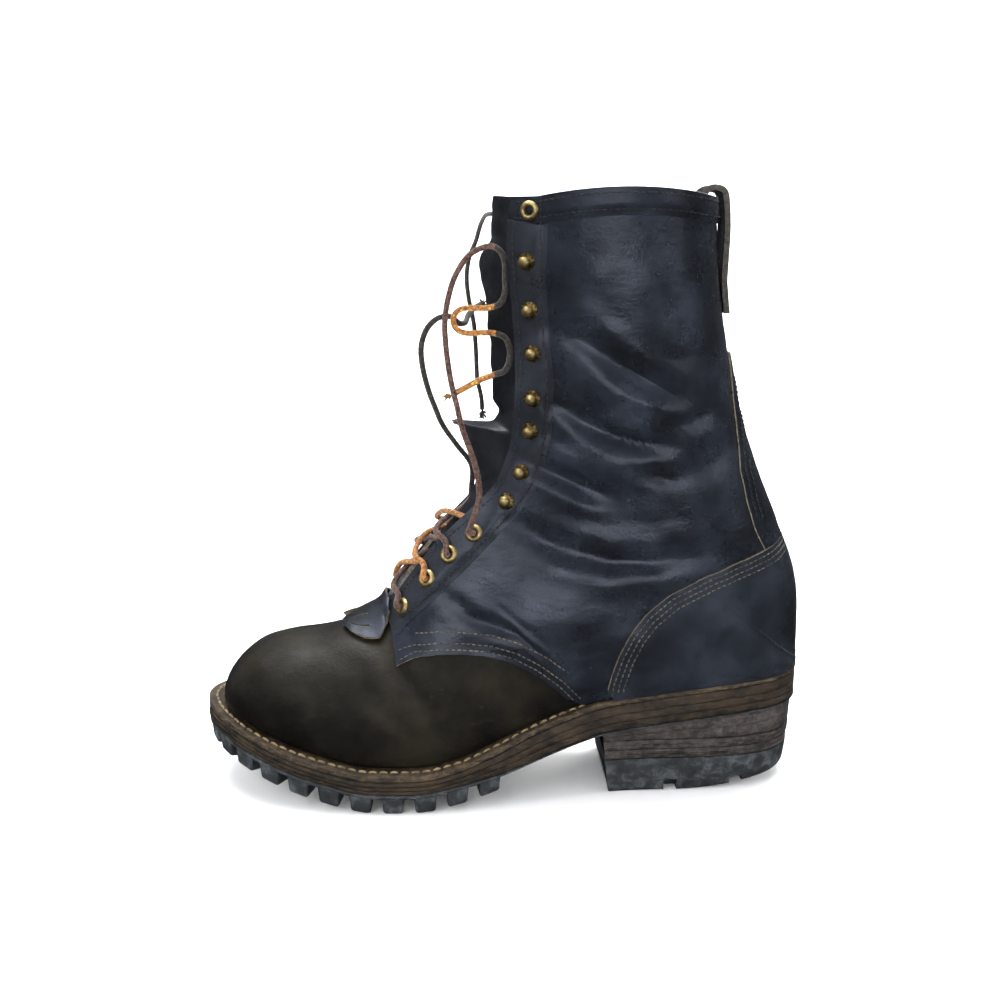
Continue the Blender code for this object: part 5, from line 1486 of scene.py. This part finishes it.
def centre_lugs():
    """Pairs of lugs inside the edge lugs."""
    blocks = []
    half = CENTRE_LUG / 2
    for number in range(CENTRE_ROWS):
        share = CENTRE_START + number * CENTRE_STEP
        x = length_place(share)
        lateral, medial = [width * BALL_WIDTH for width in steady_curve(SOLE_EDGE, share)]
        low = lateral + LUG_DEPTH + CENTRE_GAP
        high = medial - LUG_DEPTH - CENTRE_GAP
        middle = (low + high) / 2
        for start, end in ((low, middle - CENTRE_SPLIT), (middle + CENTRE_SPLIT, high)):
            if end - start < LUG_LEAN * 4:
                continue
            near = half - LUG_LEAN
            top = [(x - half, start), (x + half, start), (x + half, end), (x - half, end)]
            bottom = [
                (x - near, start + LUG_LEAN), (x + near, start + LUG_LEAN),
                (x + near, end - LUG_LEAN), (x - near, end - LUG_LEAN),
            ]
            blocks.append(lug_block(top, bottom))
    return blocks


def make_outsole():
    """Thin rubber plate of the sole, and the lugs under it."""
    loop = sole_loop(8)

    def between(share):
        return lambda x: plate_top(x) + (plate_bottom(x) - plate_top(x)) * share

    rings = [
        edge_ring(loop, inset, between(share), 0.25, 12)
        for share, inset in ((0.0, 1.0), (0.08, 0.4), (0.3, 0.1), (0.75, 0.15), (1.0, 0.8))
    ]
    add_piece("rubber_sole_plate", ring_loft(rings), ("rubber",), ("outsole",), smooth=50)
    edge = inset_loop(sole_loop(4), 0.4)
    blocks = [edge_lug(edge, number * LUG_PITCH) for number in range(-SIDE_LUGS - 1, SIDE_LUGS + 2)]
    blocks = [block for block in blocks if block is not None]
    piece = add_piece("tread_lugs", join(blocks + centre_lugs()), ("rubber",), smooth=35)
    round_edges(piece, "worn_edge", 1.6, 40, 3)


def heel_ring(inset, breast, height, count=30, wobble=0.0, seed=0):
    """Ring of the heel: both sides from the breast to the rear, then across the breast."""
    loop = inset_loop(sole_loop(8), inset)
    half = len(loop) // 2
    sides = []
    for chain in (loop[: half + 1], [loop[0]] + list(reversed(loop[half:]))):
        kept = []
        for (x0, y0), (x1, y1) in zip(chain, chain[1:]):
            if x1 > breast:
                if not kept:
                    share = (breast - x0) / (x1 - x0)
                    kept.append((breast, y0 + (y1 - y0) * share))
                kept.append((x1, y1))
        runs = [0.0]
        for start, end in zip(kept, kept[1:]):
            runs.append(runs[-1] + math.hypot(end[0] - start[0], end[1] - start[1]))
        points = []
        for number in range(count + 1):
            target = runs[-1] * number / count
            index = max(i for i in range(len(runs) - 1) if runs[i] <= target + 1e-9)
            share = (target - runs[index]) / (runs[index + 1] - runs[index])
            (x0, y0), (x1, y1) = kept[index], kept[index + 1]
            points.append((x0 + (x1 - x0) * share, y0 + (y1 - y0) * share))
        sides.append(points)
    lateral, medial = sides
    front = (breast + BREAST_HOLLOW, (lateral[0][1] + medial[0][1]) / 2)
    ring = []
    for x, y in [front] + lateral + list(reversed(medial[:-1])):
        shake = noise.noise(Vector((x * 0.08, y * 0.08, seed * 4.7))) * wobble
        out = Vector((x - length_place(HEEL_MIDDLE), y)).normalized() * shake
        ring.append((x - out.x, y - out.y, height(x) if callable(height) else height))
    return ring


def heel_inset(height):
    """How far the heel has narrowed at a height."""
    top = STACK + HEEL_RISE
    return HEEL_TAPER * max(top - height, 0) / top


def breast_place(height):
    """X of the heel's breast at a height."""
    return length_place(HEEL_BREAST) + BREAST_SLOPE * max(1 - height / (STACK + HEEL_RISE), 0)


def worn_height(height):
    """Height of the rubber heel piece along its length, walked off towards the rear."""
    left = 1 - height / TOP_LIFT
    return lambda x: height + HEEL_WEAR * left * soft_step(x, *HEEL_WEAR_RANGE)


def heel_rings(stops, level_at, wobble, seed):
    """Rings of the heel at (height, cut back) stops; level_at gives a ring's height along the boot."""
    return [
        heel_ring(
            heel_inset(height) + cut, breast_place(height) + cut * 0.5, level_at(height),
            wobble=wobble, seed=seed,
        )
        for height, cut in stops
    ]


def box_shape(centre, size):
    """Points and faces of a box."""
    points = []
    for index in range(8):
        signs = [1 if index >> axis & 1 else -1 for axis in range(3)]
        points.append(Vector([centre[axis] + signs[axis] * size[axis] / 2 for axis in range(3)]))
    return points, [(0, 2, 3, 1), (4, 5, 7, 6), (0, 1, 5, 4), (2, 6, 7, 3), (0, 4, 6, 2), (1, 3, 7, 5)]


def cut_heel_slots(piece):
    """Notches round the rubber heel piece's edge, and the hollow in its middle."""
    boxes = []
    for share in NOTCH_SHARES:
        for width in steady_curve(SOLE_EDGE, share):
            centre = (length_place(share), width * BALL_WIDTH, 0.0)
            boxes.append(box_shape(centre, (NOTCH_WIDTH, NOTCH_REACH * 2, NOTCH_HEIGHT * 2)))
    centre = (length_place(1.0), BACK_SHIFT, 0.0)
    boxes.append(box_shape(centre, (NOTCH_REACH * 2, NOTCH_WIDTH, NOTCH_HEIGHT * 2)))
    boxes.append(box_shape((length_place(HEEL_MIDDLE), BACK_SHIFT, 0.0), (*BREAST_SLOT, NOTCH_HEIGHT * 2)))
    cutter = new_object("heel_slots", new_mesh("heel_slots", *join(boxes)))
    modifier = piece.modifiers.new("slots", "BOOLEAN")
    modifier.operation = "DIFFERENCE"
    modifier.solver = "EXACT"
    modifier.object = cutter
    bpy.context.view_layer.update()
    piece.data = bpy.data.meshes.new_from_object(piece.evaluated_get(bpy.context.evaluated_depsgraph_get()))
    piece.modifiers.clear()
    piece.data.set_sharp_from_angle(angle=math.radians(40))
    bpy.data.objects.remove(cutter, do_unlink=True)


def make_heel():
    """Stacked leather lifts, and the lugged rubber piece under them."""
    under = rubber_bottom(length_place(HEEL_MIDDLE))
    for number in range(3):
        bottom = TOP_LIFT + LIFT * number
        top = under if number == 2 else bottom + LIFT - 0.05

        def level_at(height, number=number, bottom=bottom, top=top):
            share = (height - bottom) / (top - bottom)
            if number == 2:
                return lambda x: bottom + (rubber_bottom(x) - 0.1 - bottom) * share
            return height

        stops = [(bottom + (top - bottom) * share, cut) for share, cut in LIFT_PROFILE]
        name = f"stacked_lift_{3 - number}"
        shape = ring_loft(heel_rings(stops, level_at, 0.45, 20 + number))
        add_piece(name, shape, ("heel",), (f"heel_lift_{3 - number}",), smooth=50)
    shape = ring_loft(heel_rings(HEEL_PIECE_PROFILE, worn_height, 0.5, 31))
    piece = add_piece("rubber_heel_piece", shape, ("rubber",), ("top_lift",), smooth=40)
    cut_heel_slots(piece)
    round_edges(piece, "moulded_edge", 0.5, 50)


def turned_points(profile, place, normal, around):
    """Mesh turned from a profile of radius and height about a direction."""
    turn = normal.to_track_quat("Z", "Y").to_matrix()
    points = []
    for radius, height in profile:
        for index in range(around):
            angle = index / around * math.tau
            corner = Vector((radius * math.cos(angle), radius * math.sin(angle), height))
            points.append(place + turn @ corner)
    faces = ring_quads(len(profile), around, inwards=True)
    return points, [tuple(reversed(face)) for face in faces]


def make_hardware():
    """Rolled eyelets, and hooks with a domed head over a beaded base ring."""
    for side, label in ((-1, "lateral"), (1, "medial")):
        for number, section in enumerate(EYELET_SECTIONS, 1):
            shape = turned_points(ROLLED_EYELET, *hardware_frame(side, section), 28)
            node = f"eyelet_{label}_{number}"
            add_piece("rolled_" + node, shape, ("brass",), (node,))
        for number, section in enumerate(HOOK_SECTIONS, 1):
            place, normal = hardware_frame(side, section)
            shapes = [turned_points(profile, place, normal, 24) for profile in (HOOK_BASE, HOOK_HEAD)]
            turn = normal.to_track_quat("Z", "Y").to_matrix()
            radius, height = BEAD_RING
            for bead in range(BEADS):
                angle = bead / BEADS * math.tau
                centre = Vector((radius * math.cos(angle), radius * math.sin(angle), height))
                shapes.append(turned_points(HOOK_BEAD, place + turn @ centre, normal, 8))
            # The base ring and its beads take the darker brass: tarnish, and painted shade under the domed
            # head
            finish = []
            for index, (_, faces) in enumerate(shapes):
                finish += [0 if index == 1 else 1] * len(faces)
            node = f"hook_{label}_{number}"
            add_piece("lace_" + node, join(shapes), ("brass", "shade_tarnish_brass"), (node,), finish)


def stitch(place, direction, normal, length, width):
    """One pulled-down stitch."""
    direction = direction.normalized()
    across = normal.cross(direction).normalized()
    points = []
    for along, size, lift in STITCH_RINGS:
        for index in range(6):
            angle = index / 6 * math.tau
            points.append(
                place + direction * along * length + across * math.cos(angle) * width / 2 * size
                + normal * (math.sin(angle) * width / 2 * size + lift * width)
            )
    faces = ring_quads(5, 6)
    return points, faces + [tuple(reversed(range(6))), tuple(range(24, 30))]


def stitch_run(places, pitch, length, width):
    """Stitches along a chain of (point, normal) pairs."""
    stitches = []
    carried = pitch * 0.5
    for (start, normal), (end, _) in zip(places, places[1:]):
        run = (end - start).length
        while carried < run:
            stitches.append(stitch(start.lerp(end, carried / run), end - start, normal, length, width))
            carried += pitch
        carried -= run
    return stitches


def leather_chain(cells, side, lift):
    """(Point, normal) pairs through (row, step) cells on the leather."""
    chain = []
    for row, step in cells:
        place, normal, _ = leather_place(row, side, step)
        chain.append((place + normal * lift, normal))
    return chain


def shifted_outline(outline, distance):
    """Outline moved to its left in the side view, in millimetres."""
    points = [(length_place(a), u * COLLAR_HEIGHT) for a, u in outline]
    moved = []
    for index, (x, z) in enumerate(points):
        before = points[max(index - 1, 0)]
        after = points[min(index + 1, len(points) - 1)]
        run = math.hypot(after[0] - before[0], after[1] - before[1])
        shift_x = -(after[1] - before[1]) / run * distance
        shift_z = (after[0] - before[0]) / run * distance
        moved.append((length_share(x + shift_x), (z + shift_z) / COLLAR_HEIGHT))
    return moved


def outline_cells(outline, rows):
    """(Row, step) cells along an outline."""
    cells = [(row, step_at_line(row, outline)) for row in rows]
    return [(row, step) for row, step in cells if step is not None]


def make_upper_stitches():
    """Rows of waxed thread along every seam."""
    dusty, dark = [], []
    top = QUARTER_STEP + OVERLAY + SEAM
    seams = [
        # outline, distance from it, section rows and how many a row, height over the leather, thread
        (QUARTER_EDGE[first:], distance, (9.2, 12.0, 14), QUARTER_STEP, dusty)
        for distance, first in ((2.2, 2), (5.2, 3), (10.4, 4))
    ]
    seams += [(COUNTER_TOP, distance, (12.2, 19.6, 12), top, dusty) for distance in (-2.4, -5.2, -8.0)]
    seams += [(BACKSTAY_EDGE, distance, (18.9, 23.3, 12), top - 0.2, dark) for distance in (2.2, 5.0)]
    seams.append((EYESTAY_REAR, -2.4, (9.6, 23.9, 10), top, dark))
    for side in (-1, 1):
        for outline, distance, rows, lift, thread in seams:
            cells = outline_cells(shifted_outline(outline, distance), rows_between(*rows))
            thread += stitch_run(leather_chain(cells, side, lift), *UPPER_STITCH)
        cells = [(row, inset_step(row, side, 3.2)) for row in rows_between(9.3, 23.3, 10)]
        dark += stitch_run(leather_chain(cells, side, top), *UPPER_STITCH)
        for below in (2.6, 10.0):
            height = COLLAR_HEIGHT - below
            cells = [(row_at_height(side, step, height), step) for step in spread(0.25, STEPS, 70)]
            dark += stitch_run(leather_chain(cells, side, top - 0.1), *UPPER_STITCH)
    add_piece("quarter_stitching", join(dusty), ("dusty_thread",), smooth=60)
    add_piece("collar_stitching", join(dark), ("thread",), smooth=60)


def make_welt_stitches():
    """Heavy lockstitch round the welt, down to the heel's breast."""
    loop = inset_loop(sole_loop(8), 4.6)
    count = len(loop)
    start = [i for i in range(count // 2) if loop[i][0] > length_place(0.70)][0]
    chain = []
    for index in range(-start, start + 1):
        x, y = loop[index % count]
        chain.append((Vector((x, y, seat_height(x) + 0.1)), Vector((0, 0, 1))))
    add_piece("welt_stitching", join(stitch_run(chain, *WELT_STITCH)), ("welt_thread",), smooth=60)


def back_row(height):
    """Row of the section table whose back point has a height."""
    return turning_value(lambda row: section_ends(row)[1][1] < height, float(HEEL_ROW), float(LAST_ROW), 30)


def make_pull_loop():
    """Folded strap over the back of the collar."""
    spine = []
    for over, stand_off in LOOP_PATH:
        height = COLLAR_HEIGHT + over
        back_x = section_ends(back_row(min(height, COLLAR_HEIGHT)))[1][0]
        spine.append(Vector((back_x + stand_off, 0, height)))
    path = dense_route(spine, 1.6)
    rows = []
    half = LOOP_WIDTH / 2
    for index, place in enumerate(path):
        rise = path[min(index + 1, len(path) - 1)] - path[max(index - 1, 0)]
        shift = Vector((-rise.z, 0, rise.x)).normalized() * LOOP_THICKNESS / 2
        row = []
        for share in spread(-1.0, 1.0, 8):
            y = share * half
            x = place.x - y * y / (2 * LOOP_ROUND)
            row.append(Vector((x, y, place.z)) + shift)
        rows.append(row)
    finishes = ("facing", "facing", "dressed_edge")
    thick_sheet("folded_pull_loop", rows, LOOP_THICKNESS * LOOP_FOLD, finishes, ("pull_loop",))


def make_insole():
    """Insole with a soft edge, seen through the collar."""
    loop = sole_loop(8)

    def margin(x):
        return feather_margin(x) + WALL + 3.4

    rings = [
        edge_ring(loop, lambda x: margin(x) + 1.2, lambda x: seat_height(x) + 4.5),
        edge_ring(loop, margin, lambda x: seat_height(x) + 3.8),
        edge_ring(loop, margin, lambda x: seat_height(x) + 0.5),
    ]
    add_piece("foot_bed", ring_loft(rings), ("lining",), ("insole",), smooth=50)


def make_camera():
    """Camera at the photograph's angle to the boot."""
    data = bpy.data.cameras.new("camera")
    data.lens = CAMERA_LENS
    data.sensor_width = 36.0
    camera = new_object("camera", data)
    yaw, pitch, roll = [math.radians(angle) for angle in CAMERA_ANGLES]
    camera.location = Vector(CAMERA_PLACE) * MM
    turn = Matrix.Rotation(-yaw, 4, "Z") @ Matrix.Rotation(math.pi / 2 - pitch, 4, "X")
    camera.rotation_euler = (turn @ Matrix.Rotation(roll, 4, "Z")).to_euler()
    bpy.context.scene.camera = camera


def make_studio():
    """White paper that curves up all round, and soft lights."""
    turns = 96
    points = [(0, 0, 0)]
    for radius, height in PAPER_PROFILE:
        for turn in range(turns):
            angle = turn / turns * math.tau
            points.append((radius * math.cos(angle), radius * math.sin(angle), height))
    faces = [(0, 1 + turn, 1 + (turn + 1) % turns) for turn in range(turns)]
    faces += [tuple(1 + index for index in face) for face in ring_quads(len(PAPER_PROFILE), turns, True)]
    mesh = new_mesh("paper_sweep", points, faces, scale=1)
    mesh.materials.append(MATERIALS["floor"])
    mesh.shade_smooth()
    sweep = new_object("paper_sweep", mesh)
    sweep.visible_glossy = False
    for name, place, aim, size, power in LIGHTS:
        data = bpy.data.lights.new(name, "AREA")
        data.size = size
        data.energy = power
        light = new_object(name, data)
        light.location = place
        light.rotation_euler = (Vector(aim) - Vector(place)).to_track_quat("-Z", "Y").to_euler()
    world = bpy.data.worlds.new("studio")
    bpy.context.scene.world = world
    world.use_nodes = True
    tree = world.node_tree
    direction = add_node(tree, "ShaderNodeTexCoord", {}, "Generated")
    height = add_node(tree, "ShaderNodeSeparateXYZ", {"Vector": direction}, "Z")
    screen = add_node(tree, RANGE, {
        "Value": height, "From Min": -0.1, "From Max": 0.9, "To Min": 0.06, "To Max": 0.34,
    })
    fill_inputs(tree, tree.nodes["Background"], {"Strength": screen, "Color": "#eef2ff"})
    bpy.context.scene.view_settings.view_transform = "Standard"


make_camera()
make_laces()
make_vamp_and_quarters()
make_overlays()
make_tongue()
make_kiltie()
make_pull_loop()
make_sole()
make_outsole()
make_heel()
make_insole()
make_hardware()
make_upper_stitches()
make_welt_stitches()
make_studio()
